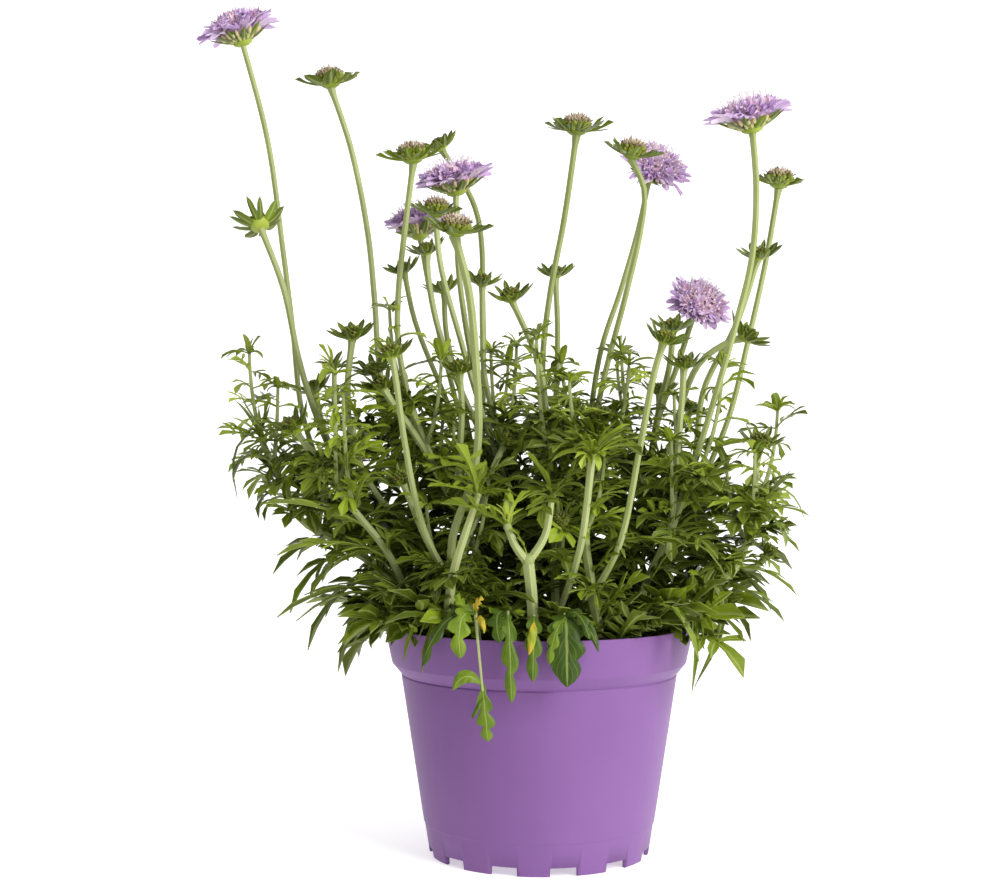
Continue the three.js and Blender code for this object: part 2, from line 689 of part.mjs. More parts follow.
    open: [
      [0.95, [111, -18, 142], 5, 2, 5], [1, [105, -6, 158], 5, 0, 2.4], [0.85, [106, -26, 128], 7, 1, 4],
      [0.6, [105, -24, 110], 8, 2, 5], [0.45, [99, -30, 100], 9, 2, 5], [0.3, [82, -36, 92], 7, 2, 5],
    ],
    leaves: 3, span: [0.3, 0.95], length: [26, 40],
  },
];

// Leaves that rise straight from the soil and hang over the rim, most of them young and yellow-green
const basalLeaves = [
  {
    name: 'basal_leaf_1', root: [-24, -47], over: [-29, -66, 134], tip: [-21, -70, 58],
    lobes: 3, width: 9, young: true,
  },
  {
    name: 'basal_leaf_2', root: [-13, -49], over: [-14, -66, 130], tip: [-12, -72, 73],
    lobes: 2, width: 6, young: true,
  },
  {
    name: 'basal_leaf_3', root: [-3, -49], over: [-3, -66, 124], tip: [-4, -72, 81],
    lobes: 2, width: 5, young: true,
  },
  {
    name: 'basal_leaf_4', root: [8, -48], over: [9, -66, 126], tip: [9, -72, 79],
    lobes: 3, width: 8, young: true,
  },
  {
    name: 'basal_leaf_5', root: [48, -26], over: [67, -36, 134], tip: [60, -46, 72],
    lobes: 2, width: 3.6, young: false,
  },
  {
    name: 'basal_leaf_6', root: [36, -38], over: [48, -56, 128], tip: [62, -54, 86],
    lobes: 3, width: 7, young: false,
  },
  {
    name: 'basal_leaf_7', root: [-36, 36], over: [-58, 60, 128], tip: [-84, 66, 94],
    lobes: 3, width: 9, young: false,
  },
  {
    name: 'basal_leaf_8', root: [28, 42], over: [44, 68, 128], tip: [56, 84, 90],
    lobes: 3, width: 9, young: false,
  },
];
const vector = ([x, y, z]) => new THREE.Vector3(x, y, z);
const soilAt = ([x, y]) => SOIL_HEIGHT + SOIL_CROWN * (1 - Math.hypot(x, y) / RIM_RADIUS);
const rootRun = ([x, y]) => [
  new THREE.Vector3(x, y, SOIL_HEIGHT - HOLE_DEPTH + ROOT_GAP),
  new THREE.Vector3(x, y, soilAt([x, y]) + COLLAR_HEIGHT),
];

// The part of a head that stands above the stalk: the head's green parts, and its coloured solid by name
function headParts(stalk) {
  const star = { at: stalk.star, faces: stalk.faces, size: stalk.size };
  const head = bloomHeads[stalk.bloom] ?? discHeads[stalk.disc] ?? star;
  const facing = vector(head.faces).normalize();
  const place = vector(head.at);
  const { size } = head;
  if (stalk.star) {
    const ring = { reach: size, bracts: BRACT_COUNT, lift: 0.4, cup: size * 0.42, dome: size * 0.34 };
    return { low: place, green: involucre({ place, facing, ...ring }) };
  }
  const under = place.clone().addScaledVector(facing, -0.8);
  const ring = stalk.bloom
    ? { reach: size * 0.62, bracts: BRACT_COUNT, lift: -0.12, cup: size * 0.24, dome: 0.1 }
    : { reach: size, bracts: BRACT_COUNT + 1, lift: -0.04, cup: size * 0.46, dome: 0.1 };
  const low = place.clone().addScaledVector(facing, -2.2);
  return { low, green: involucre({ place: under, facing, ...ring }) };
}

// A leaf drawn at random on a stem: where it springs from, which way it leans and how long it is
function drawLeaf(stem, run, seed) {
  const draw = seededDraws(seed);
  const [low, high] = stem.span;
  const along = low + (high - low) * draw();
  const base = run.getPointAt(along);
  const heading = draw() * Math.PI * 2;
  const length = stem.length[0] + (stem.length[1] - stem.length[0]) * draw();
  const start = 0.25 + 0.85 * draw();
  const end = start - 0.5 - 0.8 * draw();
  const outward = new THREE.Vector3(Math.cos(heading), Math.sin(heading), 0);
  const step = (angle, far) => outward.clone().multiplyScalar(Math.cos(angle) * far)
    .addScaledVector(UP, Math.sin(angle) * far);
  const middle = base.clone().add(step(start, length * 0.5));
  const tip = middle.clone().add(step(end, length * 0.5));
  const lobes = 2 + Math.floor(draw() * 2);
  const width = length * (0.17 + 0.07 * draw());
  const roll = (draw() - 0.5) * 0.8;
  return { base, middle, tip, lobes, width, roll };
}

const leafBlade = (leaf) => blade(leafEdge(leaf), leaf.base, leaf.middle, leaf.tip, { roll: leaf.roll });

// Solids that stand apart: a new one is tested against the others' boxes, then against their shapes
function boxesMeet(a, b, margin) {
  const [p, q] = [a.boundingBox(), b.boundingBox()];
  return [0, 1, 2].every((k) => p.min[k] - margin < q.max[k] && q.min[k] - margin < p.max[k]);
}

function standsClear(solid, others) {
  return others.every((other) => !boxesMeet(solid, other, LEAF_CLEARANCE)
    || solid.minGap(other, LEAF_CLEARANCE * 2) >= LEAF_CLEARANCE);
}

const pot = potSolid();
const roots = [
  ...leafyStems.map(({ root, radius }) => ({ x: root[0], y: root[1], radius })),
  ...basalLeaves.map(({ root }) => ({ x: root[0], y: root[1], radius: PETIOLE_RADIUS })),
];
const soil = soilSolid(roots);

// Stems, stalks and green heads, before any leaf is placed
const grown = leafyStems.map((stem) => {
  const [foot, ground] = rootRun(stem.root);
  const above = smoothRun([ground, ...stem.run.map(vector)], stem.run.length);
  const run = new THREE.CatmullRomCurve3(above, false, 'centripetal');
  const points = [foot, ...above];
  const taper = (i) => stem.radius * (1 - STEM_TAPER * (i / points.length));
  const solids = [tube(points, points.map((_, i) => taper(i)), STEM_SIDES)];
  for (const stalk of stem.stalks) {
    const { low, green } = headParts(stalk);
    const way = [run.getPointAt(stalk.from), ...stalk.way.map(vector), low];
    const thin = stalk.radius ?? STALK_RADIUS;
    const long = new THREE.CatmullRomCurve3(way, false, 'centripetal').getLength();
    const stalkPoints = smoothRun(way, 1 + Math.round(long / STALK_STEP));
    solids.push(tube(stalkPoints, stalkPoints.map(() => thin), STALK_SIDES), green);
  }
  return { stem, run, body: join(solids), leaves: [] };
});

const blooms = Object.entries(bloomHeads).map(([name, head]) => ({
  name,
  body: bloomSolid({ place: vector(head.at), facing: vector(head.faces).normalize(), size: head.size }),
}));
const discs = Object.entries(discHeads).map(([name, head]) => ({
  name,
  body: seedDomeSolid({ place: vector(head.at), facing: vector(head.faces).normalize(), size: head.size }),
}));

// Basal leaves: a petiole from its hole in the soil, then a blade that arches over the rim
const basal = basalLeaves.map((leaf) => {
  const [foot, ground] = rootRun(leaf.root);
  const top = vector(leaf.over);
  const tip = vector(leaf.tip);
  const petioleEnd = ground.clone().lerp(top, 0.3);
  const petioleRadii = [PETIOLE_RADIUS, PETIOLE_RADIUS, PETIOLE_END];
  const petiole = tube([foot, ground, petioleEnd], petioleRadii, STALK_SIDES);
  const edge = leafEdge({ ...leaf, rib: 0.8 });
  return { leaf, body: join([petiole, blade(edge, ground, top, tip)]) };
});

const standing = [pot, soil, ...[...blooms, ...discs, ...basal].map(({ body }) => body)];
const placedLeaves = [];

for (const plant of grown) {
  for (const [at, tipPoint, arch, lobes, width] of plant.stem.open) {
    const base = plant.run.getPointAt(at);
    const tip = vector(tipPoint);
    const middle = base.clone().lerp(tip, 0.5).addScaledVector(UP, arch);
    plant.leaves.push(leafBlade({ base, middle, tip, lobes, width }));
  }
  placedLeaves.push(...plant.leaves);
}
grown.forEach((plant, number) => {
  const otherStems = grown.filter((other) => other !== plant).map(({ body }) => body);
  const obstacles = [...standing, ...otherStems];
  for (let i = 0; i < plant.stem.leaves; i += 1) {
    for (let attempt = 0; attempt < MAX_DRAWS; attempt += 1) {
      const leaf = drawLeaf(plant.stem, plant.run, (number + 1) * STEM_SEEDS + i * LEAF_SEEDS + attempt);
      const solid = leafBlade(leaf);
      if (standsClear(solid, obstacles) && standsClear(solid, placedLeaves)) {
        plant.leaves.push(solid);
        placedLeaves.push(solid);
        break;
      }
    }
  }
});

// The finished group, one named mesh for each piece

const group = new THREE.Group();

function addPiece(name, solid, colour, roughness) {
  const material = new THREE.MeshStandardMaterial({ color: colour, roughness, metalness: 0 });
  const mesh = new THREE.Mesh(toGeometry(solid), material);
  mesh.name = name;
  group.add(mesh);
}

addPiece('pot', pot, POT_PURPLE, 0.45);
addPiece('soil', soil, SOIL_BROWN, 0.95);
for (const { stem, body, leaves } of grown) addPiece(stem.name, join([body, ...leaves]), LEAF_GREEN, 0.6);
for (const { leaf, body } of basal) addPiece(leaf.name, body, leaf.young ? YOUNG_GREEN : LEAF_GREEN, 0.55);
for (const { name, body } of blooms) addPiece(name, body, PETAL_LAVENDER, 0.7);
for (const { name, body } of discs) addPiece(name, body, SEED_BROWN, 0.8);

export default group;
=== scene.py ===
from math import atan2, cos, exp, hypot, pi, radians, sin

import bmesh
import bpy
import numpy as np
from mathutils import Matrix, Vector, noise
from mathutils.kdtree import KDTree


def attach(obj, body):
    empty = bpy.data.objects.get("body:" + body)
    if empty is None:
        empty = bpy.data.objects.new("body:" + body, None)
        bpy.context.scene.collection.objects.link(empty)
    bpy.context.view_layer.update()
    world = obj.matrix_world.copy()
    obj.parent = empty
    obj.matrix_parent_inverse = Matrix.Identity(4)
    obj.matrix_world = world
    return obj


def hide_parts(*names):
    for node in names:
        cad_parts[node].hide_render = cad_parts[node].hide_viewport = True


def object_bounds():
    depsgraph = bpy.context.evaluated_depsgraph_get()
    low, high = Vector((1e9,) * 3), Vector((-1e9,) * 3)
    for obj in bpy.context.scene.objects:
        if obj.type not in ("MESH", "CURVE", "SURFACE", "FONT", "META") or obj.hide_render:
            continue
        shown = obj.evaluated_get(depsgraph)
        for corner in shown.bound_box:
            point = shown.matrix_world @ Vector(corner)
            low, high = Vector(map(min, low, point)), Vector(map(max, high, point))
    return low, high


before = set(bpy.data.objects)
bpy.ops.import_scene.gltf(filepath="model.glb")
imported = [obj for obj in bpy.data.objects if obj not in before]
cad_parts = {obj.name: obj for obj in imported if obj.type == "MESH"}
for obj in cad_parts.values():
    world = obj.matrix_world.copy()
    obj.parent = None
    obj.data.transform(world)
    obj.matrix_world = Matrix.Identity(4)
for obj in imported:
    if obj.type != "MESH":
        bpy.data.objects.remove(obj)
cad_low, cad_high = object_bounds()


# Studio: a white floor that rises into a wall all round, as in a photographer's light tent, lit by a bright
# sky, two large soft boxes, the stronger one to the right of the camera, and the paper's own painted glow; to
# the left of the camera the paper is painted grey and glows less, painted shade that dims the plant's left
# side.
MM = 0.001
PHOTO_WIDTH = 1000
FOCAL_PIXELS = 1700
SENSOR_MM = 36
CAMERA_PLACE = (-0.0164, -0.717, 0.1729)
FLOOR_FLAT = 1.6
TENT_BEND = 1.3
TENT_HEIGHT = 2.6
PAPER = "#F7F7F6"
PAPER_GLOW = 0.5
# Painted shade on the tent: the paper's grey and weaker glow to the left, and where they start and are full
PAINTED_SHADE_GREY = "#8A8A8D"
PAINTED_SHADE_GLOW = 0.1
PAINTED_SHADE_WAY = (-0.8, -0.6, 0.0)
PAINTED_SHADE_FROM = 0.28
PAINTED_SHADE_FULL = 0.9
SKY_STRENGTH = 0.45
PLANT_MIDDLE = (-0.01, 0, 0.17)
LAMP_SIZE = 0.8
RIGHT_WATTS = 22
LEFT_WATTS = 3


def linear(hex_colour):
    """An sRGB hex colour as linear red, green, blue and alpha."""
    parts = [int(hex_colour[i:i + 2], 16) / 255 for i in (1, 3, 5)]
    return tuple(v / 12.92 if v <= 0.04045 else ((v + 0.055) / 1.055) ** 2.4 for v in parts) + (1,)


def add_node(tree, kind, links=None, stops=None, **settings):
    """A shader node with its settings, its sockets' values or links, and the stops of a colour ramp."""
    made = tree.nodes.new(kind)
    for name, value in settings.items():
        setattr(made, name, value)
    for socket, value in (links or {}).items():
        if isinstance(value, bpy.types.NodeSocket):
            tree.links.new(value, made.inputs[socket])
        else:
            made.inputs[socket].default_value = value
    if stops:
        elements = made.color_ramp.elements
        while len(elements) < len(stops):
            elements.new(0.5)
        for element, (place, colour) in zip(elements, stops):
            element.position = place
            element.color = linear(colour) if isinstance(colour, str) else (colour,) * 3 + (1,)
    return made


def new_material(name, roughness, ior=1.45, **sockets):
    """A material with one Principled shader, and its tree and shader."""
    material = bpy.data.materials.new(name)
    material.use_nodes = True
    tree = material.node_tree
    shader = tree.nodes["Principled BSDF"]
    shader.inputs["Roughness"].default_value = roughness
    shader.inputs["IOR"].default_value = ior
    for socket, value in sockets.items():
        shader.inputs[socket.replace("_", " ")].default_value = value
    return material, tree, shader


def finish_mesh(bm, name, materials, scale=MM, sharp=50):
    """The mesh object of a finished bmesh, in metres, with soft shading up to a sharp angle."""
    mesh = bpy.data.meshes.new(name)
    bm.to_mesh(mesh)
    bm.free()
    mesh.transform(Matrix.Scale(scale, 4))
    mesh.shade_smooth()
    mesh.set_sharp_from_angle(angle=radians(sharp))
    for material in materials:
        mesh.materials.append(material)
    piece = bpy.data.objects.new(name, mesh)
    bpy.context.scene.collection.objects.link(piece)
    return piece


def spin_profile(bm, profile, steps):
    """Turns a profile of radius and height pairs once round the Z axis."""
    points = [bm.verts.new((radius, 0, height)) for radius, height in profile]
    edges = [bm.edges.new(pair) for pair in zip(points, points[1:])]
    bmesh.ops.spin(bm, geom=points + edges, cent=(0, 0, 0), axis=(0, 0, 1), angle=2 * pi,
                   steps=steps, use_merge=True)
    bmesh.ops.remove_doubles(bm, verts=bm.verts, dist=1e-6)
    bmesh.ops.recalc_face_normals(bm, faces=bm.faces)


tent = bmesh.new()
bend = [(FLOOR_FLAT + TENT_BEND * sin(turn), TENT_BEND * (1 - cos(turn)))
        for turn in np.linspace(0, pi / 2, 16)]
spin_profile(tent, [(0, 0), *bend, (FLOOR_FLAT + TENT_BEND, TENT_HEIGHT)], 96)
bmesh.ops.reverse_faces(tent, faces=tent.faces)
paper, paper_tree, paper_shader = new_material("white_paper_painted_glow_and_shade", 0.9)
# Painted light: the paper glows white by itself, though it is no lamp, so that it reads pure white and lights
# the plant
paper_shader.inputs["Emission Color"].default_value = linear("#FFFFFF")
# Painted shade: the tent's paper is painted grey and glows less to the left of the camera, out of the picture
spot = add_node(paper_tree, "ShaderNodeTexCoord").outputs["Object"]
left = add_node(paper_tree, "ShaderNodeVectorMath", {0: spot, 1: PAINTED_SHADE_WAY}, operation="DOT_PRODUCT")
shade = add_node(paper_tree, "ShaderNodeMapRange",
                 {0: left.outputs["Value"], 1: PAINTED_SHADE_FROM, 2: PAINTED_SHADE_FULL, 3: 0.0, 4: 1.0})
painted_grey_mix = add_node(paper_tree, "ShaderNodeMix",
                 {0: shade.outputs[0], 6: linear(PAPER), 7: linear(PAINTED_SHADE_GREY)}, data_type="RGBA")
paper_tree.links.new(painted_grey_mix.outputs[2], paper_shader.inputs["Base Color"])
# Painted light: the paper's own glow, weaker where it is painted grey
glow = add_node(paper_tree, "ShaderNodeMapRange",
                {0: shade.outputs[0], 1: 0.0, 2: 1.0, 3: PAPER_GLOW, 4: PAINTED_SHADE_GLOW})
paper_tree.links.new(glow.outputs[0], paper_shader.inputs["Emission Strength"])
floor = finish_mesh(tent, "floor", [paper], scale=1)

world = bpy.data.worlds.new("white_sky")
bpy.context.scene.world = world
world.use_nodes = True
world.node_tree.nodes["Background"].inputs["Color"].default_value = linear("#FFFFFF")
world.node_tree.nodes["Background"].inputs["Strength"].default_value = SKY_STRENGTH


def soft_box(name, place, watts):
    """A square area light at a place, turned towards the plant."""
    light = bpy.data.lights.new(name, "AREA")
    light.shape = "SQUARE"
    light.size = LAMP_SIZE
    light.energy = watts
    lamp = bpy.data.objects.new(name, light)
    lamp.location = place
    lamp.rotation_euler = (Vector(PLANT_MIDDLE) - Vector(place)).to_track_quat("-Z", "Y").to_euler()
    bpy.context.scene.collection.objects.link(lamp)


soft_box("right_soft_box", (1.0, -1.05, 0.95), RIGHT_WATTS)
soft_box("left_soft_box", (-1.2, -0.3, 1.3), LEFT_WATTS)

lens = bpy.data.cameras.new("camera")
lens.sensor_width = SENSOR_MM
lens.sensor_fit = "HORIZONTAL"
lens.lens = FOCAL_PIXELS * SENSOR_MM / PHOTO_WIDTH
lens.clip_start = 0.02
camera = bpy.data.objects.new("camera", lens)
camera.location = CAMERA_PLACE
camera.rotation_euler = (pi / 2, 0, 0)
bpy.context.scene.collection.objects.link(camera)
bpy.context.scene.camera = camera
bpy.context.scene.view_settings.view_transform = "Standard"


# Pot: a thin nursery pot, injection moulded in violet polypropylene, with a deep lip, a chamfered
# shoulder, a stepped foot and drain notches round it. It stands free on its foot ring.
POT_HEIGHT = 95.4
RIM_RADIUS = 65
RIM_FOOT = (61.8, 80)
SHOULDER = (58, 75.5)
BASE_RADIUS = 46
STEP_HEIGHT = 13
STEP_DEPTH = 0.4
CREASE = 0.9
WALL = 1.4
FLOOR_HEIGHT = 4
FLOOR_THICKNESS = 1.6
FOOT_PAD = 20
NOTCHES = 12
NOTCH_WIDTH = 11
NOTCH_HEIGHT = 3.6
NOTCH_TURN = 11
POT_STEPS = 144
DRAIN_INSET = 10
EDGE_ROUND = 0.35

wall_slope = (SHOULDER[0] - BASE_RADIUS) / SHOULDER[1]
floor_top = FLOOR_HEIGHT + FLOOR_THICKNESS
step_radius = BASE_RADIUS + wall_slope * STEP_HEIGHT
pot_profile = [
    (0, 0), (FOOT_PAD, 0), (FOOT_PAD + 3, FLOOR_HEIGHT), (BASE_RADIUS - WALL, FLOOR_HEIGHT),
    (BASE_RADIUS - WALL - 0.2, 0), (BASE_RADIUS, 0), (step_radius, STEP_HEIGHT),
    (step_radius + STEP_DEPTH, STEP_HEIGHT + STEP_DEPTH),
    (SHOULDER[0] - 0.1, SHOULDER[1] - CREASE), (SHOULDER[0] - 0.6, SHOULDER[1] - 0.4 * CREASE),
    (SHOULDER[0] + 0.2, SHOULDER[1] + 0.2), RIM_FOOT,
    (RIM_RADIUS, POT_HEIGHT), (RIM_RADIUS - WALL, POT_HEIGHT), (RIM_FOOT[0] - WALL, RIM_FOOT[1] + 0.6),
    (SHOULDER[0] - WALL, SHOULDER[1] + 0.6), (BASE_RADIUS + wall_slope * floor_top - WALL, floor_top),
    (FOOT_PAD + 2.2, floor_top), (FOOT_PAD - 0.8, FLOOR_THICKNESS), (0, FLOOR_THICKNESS),
]
shell = bmesh.new()
spin_profile(shell, pot_profile, POT_STEPS)
creases = [e for e in shell.edges if len(e.link_faces) == 2
           and e.calc_face_angle(0) > radians(12)
           and abs(e.verts[0].co.z - e.verts[1].co.z) < 1e-4]
bmesh.ops.bevel(shell, geom=creases, offset=EDGE_ROUND, offset_type="OFFSET", segments=3, profile=0.5,
                affect="EDGES", material=-1, clamp_overlap=True)
cutters = bmesh.new()
for i in range(NOTCHES):
    turn = Matrix.Rotation(radians(NOTCH_TURN + 360 / NOTCHES * i - 90), 4, "Z")
    size = Matrix.Diagonal((8, NOTCH_WIDTH, NOTCH_HEIGHT * 2, 1))
    notch = Matrix.Translation((BASE_RADIUS, 0, 0)) @ size
    bmesh.ops.create_cube(cutters, size=1, matrix=turn @ notch)
    if i % 2 == 0:
        hole = Matrix.Translation((BASE_RADIUS - DRAIN_INSET, 0, floor_top)) @ Matrix.Diagonal((6, 7, 8, 1))
        bmesh.ops.create_cube(cutters, size=1, matrix=turn @ hole)

polypropylene, tree, shader = new_material("moulded_polypropylene", 0.45, ior=1.49, Specular_IOR_Level=0.2)
# Moulded polypropylene: an even satin skin with a faint cloudiness and fine flow lines
place = add_node(tree, "ShaderNodeTexCoord").outputs["Object"]
cloud = add_node(tree, "ShaderNodeTexNoise", {"Vector": place, "Scale": 14, "Detail": 3})
colour = add_node(tree, "ShaderNodeValToRGB", {"Fac": cloud.outputs["Fac"]},
                  stops=[(0.3, "#79538C"), (0.7, "#815B94")])
tree.links.new(colour.outputs["Color"], shader.inputs["Base Color"])
grain = add_node(tree, "ShaderNodeTexNoise", {"Vector": place, "Scale": 900, "Detail": 2})
bump = add_node(tree, "ShaderNodeBump",
                {"Height": grain.outputs["Fac"], "Strength": 0.12, "Distance": 0.0003})
tree.links.new(bump.outputs["Normal"], shader.inputs["Normal"])

pot = finish_mesh(shell, "nursery_pot", [polypropylene], sharp=40)
drains = finish_mesh(cutters, "drain_cutters", [], sharp=40)
cut = pot.modifiers.new("drains", "BOOLEAN")
cut.operation = "DIFFERENCE"
cut.solver = "EXACT"
cut.object = drains
bpy.context.view_layer.update()
drained = bpy.data.meshes.new_from_object(pot.evaluated_get(bpy.context.evaluated_depsgraph_get()))
pot.modifiers.clear()
pot.data = drained
bpy.data.objects.remove(drains)
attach(pot, "root")
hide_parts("pot")


# Soil: dark peat compost that fills the pot to just under its rim, a loose crumbly top with
# bits of bark. It holds the stems by their roots.
SOIL_HEIGHT = 88
SOIL_CROWN = 1.5
SOIL_GAP = 0.3
ROOT_DEPTH = 9.7
CRUMBS = 950
CRUMBS_WITHIN = 62
CRUMB_SEED = 7
MASK = 0xFFFFFFFF


def seeded_draws(seed):
    """A function that draws numbers between 0 and 1, the same run for the same seed."""
    state = seed & MASK

    def draw(low=0.0, high=1.0):
        nonlocal state
        state = (state + 0x6D2B79F5) & MASK
        t = state
        t = ((t ^ (t >> 15)) * (t | 1)) & MASK
        t ^= (t + (((t ^ (t >> 7)) * (t | 61)) & MASK)) & MASK
        return low + (high - low) * (((t ^ (t >> 14)) & MASK) / 4294967296)

    return draw


def soil_level(far):
    """The height of the soil's gently crowned top at a distance from the pot's axis."""
    return SOIL_HEIGHT + SOIL_CROWN * (1 - far / RIM_RADIUS)


inside = WALL + SOIL_GAP + 0.1
lip_slope = (RIM_RADIUS - RIM_FOOT[0]) / (POT_HEIGHT - RIM_FOOT[1])
soil_radius = RIM_FOOT[0] + lip_slope * (SOIL_HEIGHT - RIM_FOOT[1]) - inside - 0.2
soil_profile = [(soil_radius * share, SOIL_HEIGHT + SOIL_CROWN * (1 - share))
                for share in np.linspace(0, 1, 34)]
soil_profile += [
    (RIM_FOOT[0] - inside - 0.2, RIM_FOOT[1] + 0.6), (SHOULDER[0] - inside - 0.1, SHOULDER[1] + 0.6),
    (BASE_RADIUS + wall_slope * floor_top - inside, floor_top + SOIL_GAP),
    (FOOT_PAD + 1.8, floor_top + SOIL_GAP), (FOOT_PAD - 1.2, FLOOR_THICKNESS + SOIL_GAP),
    (0, FLOOR_THICKNESS + SOIL_GAP),
]
ground = bmesh.new()
spin_profile(ground, soil_profile, 120)
for vert in ground.verts:
    if vert.co.z > SOIL_HEIGHT - 0.5:
        coarse = noise.fractal(vert.co * 0.12, 1.0, 2.0, 3)
        vert.co.z += min(1.2, 0.8 * coarse + 0.9 * noise.noise(vert.co * 0.7))
draw = seeded_draws(CRUMB_SEED)
for _ in range(CRUMBS):
    far, turn, size = CRUMBS_WITHIN * draw() ** 0.5, draw(0, 2 * pi), draw(0.35, 1.2) ** 1.6
    spot = Vector((far * cos(turn), far * sin(turn), soil_level(far)))
    lump = Matrix.Translation(spot) @ Matrix.Rotation(draw(0, pi), 4, (draw(), draw(), 1))
    stretch = Matrix.Diagonal((draw(0.8, 2.2), draw(0.7, 1.2), draw(0.6, 1), 1))
    if far + 2 * size < soil_radius:
        bmesh.ops.create_icosphere(ground, subdivisions=1, radius=size, matrix=lump @ stretch)

compost, tree, shader = new_material("peat_compost", 0.95, ior=1.4)
# Peat compost: near-black brown, matte, flecked with paler bark and fibres
place = add_node(tree, "ShaderNodeTexCoord").outputs["Object"]
fleck = add_node(tree, "ShaderNodeTexNoise", {"Vector": place, "Scale": 420, "Detail": 4})
colour = add_node(tree, "ShaderNodeValToRGB", {"Fac": fleck.outputs["Fac"]},
                  stops=[(0.3, "#15100D"), (0.52, "#30231B"), (0.72, "#5A4130")])
tree.links.new(colour.outputs["Color"], shader.inputs["Base Color"])
bump = add_node(tree, "ShaderNodeBump", {"Height": fleck.outputs["Fac"], "Strength": 0.6, "Distance": 0.001})
tree.links.new(bump.outputs["Normal"], shader.inputs["Normal"])
soil = finish_mesh(ground, "compost", [compost], sharp=60)
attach(soil, "root")
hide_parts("soil")


# Leaf shapes: flat blades cut into narrow strap-like lobes in pairs, each drawn once on a straight
# rib and then bent to its place. A finished blade is a thin closed skin, its middle line sunk.
LEAF_LENGTH = 45
LOBE_REACH = 9
LEAF_THICKNESS = 0.34
FIRST_LOBE = 0.22
LAST_LOBE = 0.8
SPREAD_CUT = 4


def new_shape():
    """An empty bmesh with the layers that every plant piece carries: its UV map and its age."""
    bm = bmesh.new()
    bm.loops.layers.uv.new("UVMap")
    bm.verts.layers.float.new("age")
    return bm


def on_arch(start, bow, end, t):
    """The place at a share of a bowed line, which its three points may give in two or three axes."""
    return (1 - t) ** 2 * start + 2 * t * (1 - t) * bow + t ** 2 * end


def along_arch(start, bow, end, t):
    """The way that a bowed line runs at a share of it, with half its true length."""
    return (1 - t) * (bow - start) + t * (end - bow)


def strap(bm, start, bow, end, half_width, steps, lift=0.0, sink=0.45):
    """A strap along a bowed line in the template's plane: its edges stand above its middle line."""
    start, bow, end = (np.array(p, float) for p in (start, bow, end))
    made = bmesh.ops.create_grid(bm, x_segments=2, y_segments=steps, size=0.5, calc_uvs=True)
    for vert in made["verts"]:
        across, along = vert.co.x * 2, vert.co.y + 0.5
        point = on_arch(start, bow, end, along)
        tangent = along_arch(start, bow, end, along)
        side = np.array((tangent[1], -tangent[0])) / np.linalg.norm(tangent)
        wide = half_width(along)
        x, y = point + side * across * wide
        vert.co = (x, y, lift * along ** 1.5 + abs(across) * wide * sink)


def template(bm, name, thickness=LEAF_THICKNESS):
    """The bmesh as a mesh to be copied, given its thickness, and its coordinates."""
    bmesh.ops.recalc_face_normals(bm, faces=bm.faces)
    if thickness:
        bmesh.ops.solidify(bm, geom=bm.faces[:], thickness=thickness)
    mesh = bpy.data.meshes.new(name)
    bm.to_mesh(mesh)
    bm.free()
    return mesh, np.array([vert.co for vert in mesh.vertices])


def lobe_outline(widest):
    """A blunt lobe: the half-width along it, widest past its middle."""
    return lambda t: widest * (max(1 - t, 0) ** 0.45 * (0.42 + 1.05 * t) + 0.02)


def cut_leaf(lobes, seed, sweep=1.0, fat=1.0):
    """A cut leaf: a slim rib with lobes in pairs that sweep forwards, and a longer lobe at its end."""
    draw = seeded_draws(seed)
    bm = new_shape()
    end_lobe = (2.3 + 0.6 * draw()) * fat
    strap(bm, (0, 0), (0, LEAF_LENGTH / 2), (0, LEAF_LENGTH),
          lambda t: (0.75 + 0.6 * min(t / 0.3, 1) + end_lobe * 0.62 * exp(-((t - 0.84) / 0.1) ** 2))
          * min(1, (max(1 - t, 0) / 0.1) ** 0.6 + 0.02), 8, lift=draw(-2, 1))
    pitch = (LAST_LOBE - FIRST_LOBE) / max(lobes, 1)
    for k in range(lobes):
        for side in (-1, 1):
            reach = LOBE_REACH * (0.75 if k == 0 else 1) * (0.85 if k == lobes - 1 and lobes > 2 else 1)
            reach *= 1 + 0.2 * (draw() - 0.5)
            foot = (FIRST_LOBE + pitch * k + 0.05 * (draw() - 0.5)) * LEAF_LENGTH
            ahead = pitch * (0.95 + 0.3 * (draw() - 0.4)) if sweep == 1 else sweep * draw(0.12, 0.2)
            top = foot + ahead * LEAF_LENGTH
            strap(bm, (0, foot), (side * reach * 0.62, foot + 0.3 * (top - foot)), (side * reach, top),
                  lobe_outline(draw(2.0, 2.8) * fat), 3, lift=draw(-4.5, 2.2))
    return template(bm, f"cut_leaf_{lobes}_{seed}")


def lance_leaf():
    """An uncut narrow leaf of half-width 1, as long as a cut one."""
    bm = new_shape()
    strap(bm, (0, 0), (0, LEAF_LENGTH / 2), (0, LEAF_LENGTH),
          lambda t: 0.4 + 0.6 * sin(pi * min(t * 1.1, 1) ** 0.8) if t < 0.62 else
          0.98 * (max(1 - t, 0) / 0.38) ** 0.5 + 0.02, 7, sink=0.35)
    return template(bm, "lance_leaf")


LANCE = lance_leaf()
CUT_LEAVES = {lobes: [cut_leaf(lobes, seed) for seed in (11, 12, 13)] for lobes in (1, 2, 3)}
# Leaves of more spread and blunter lobes, with three or four pairs each
CUT_LEAVES[SPREAD_CUT] = [cut_leaf(3 + seed % 2, seed, sweep=1.1, fat=1.05) for seed in (21, 22, 23)]


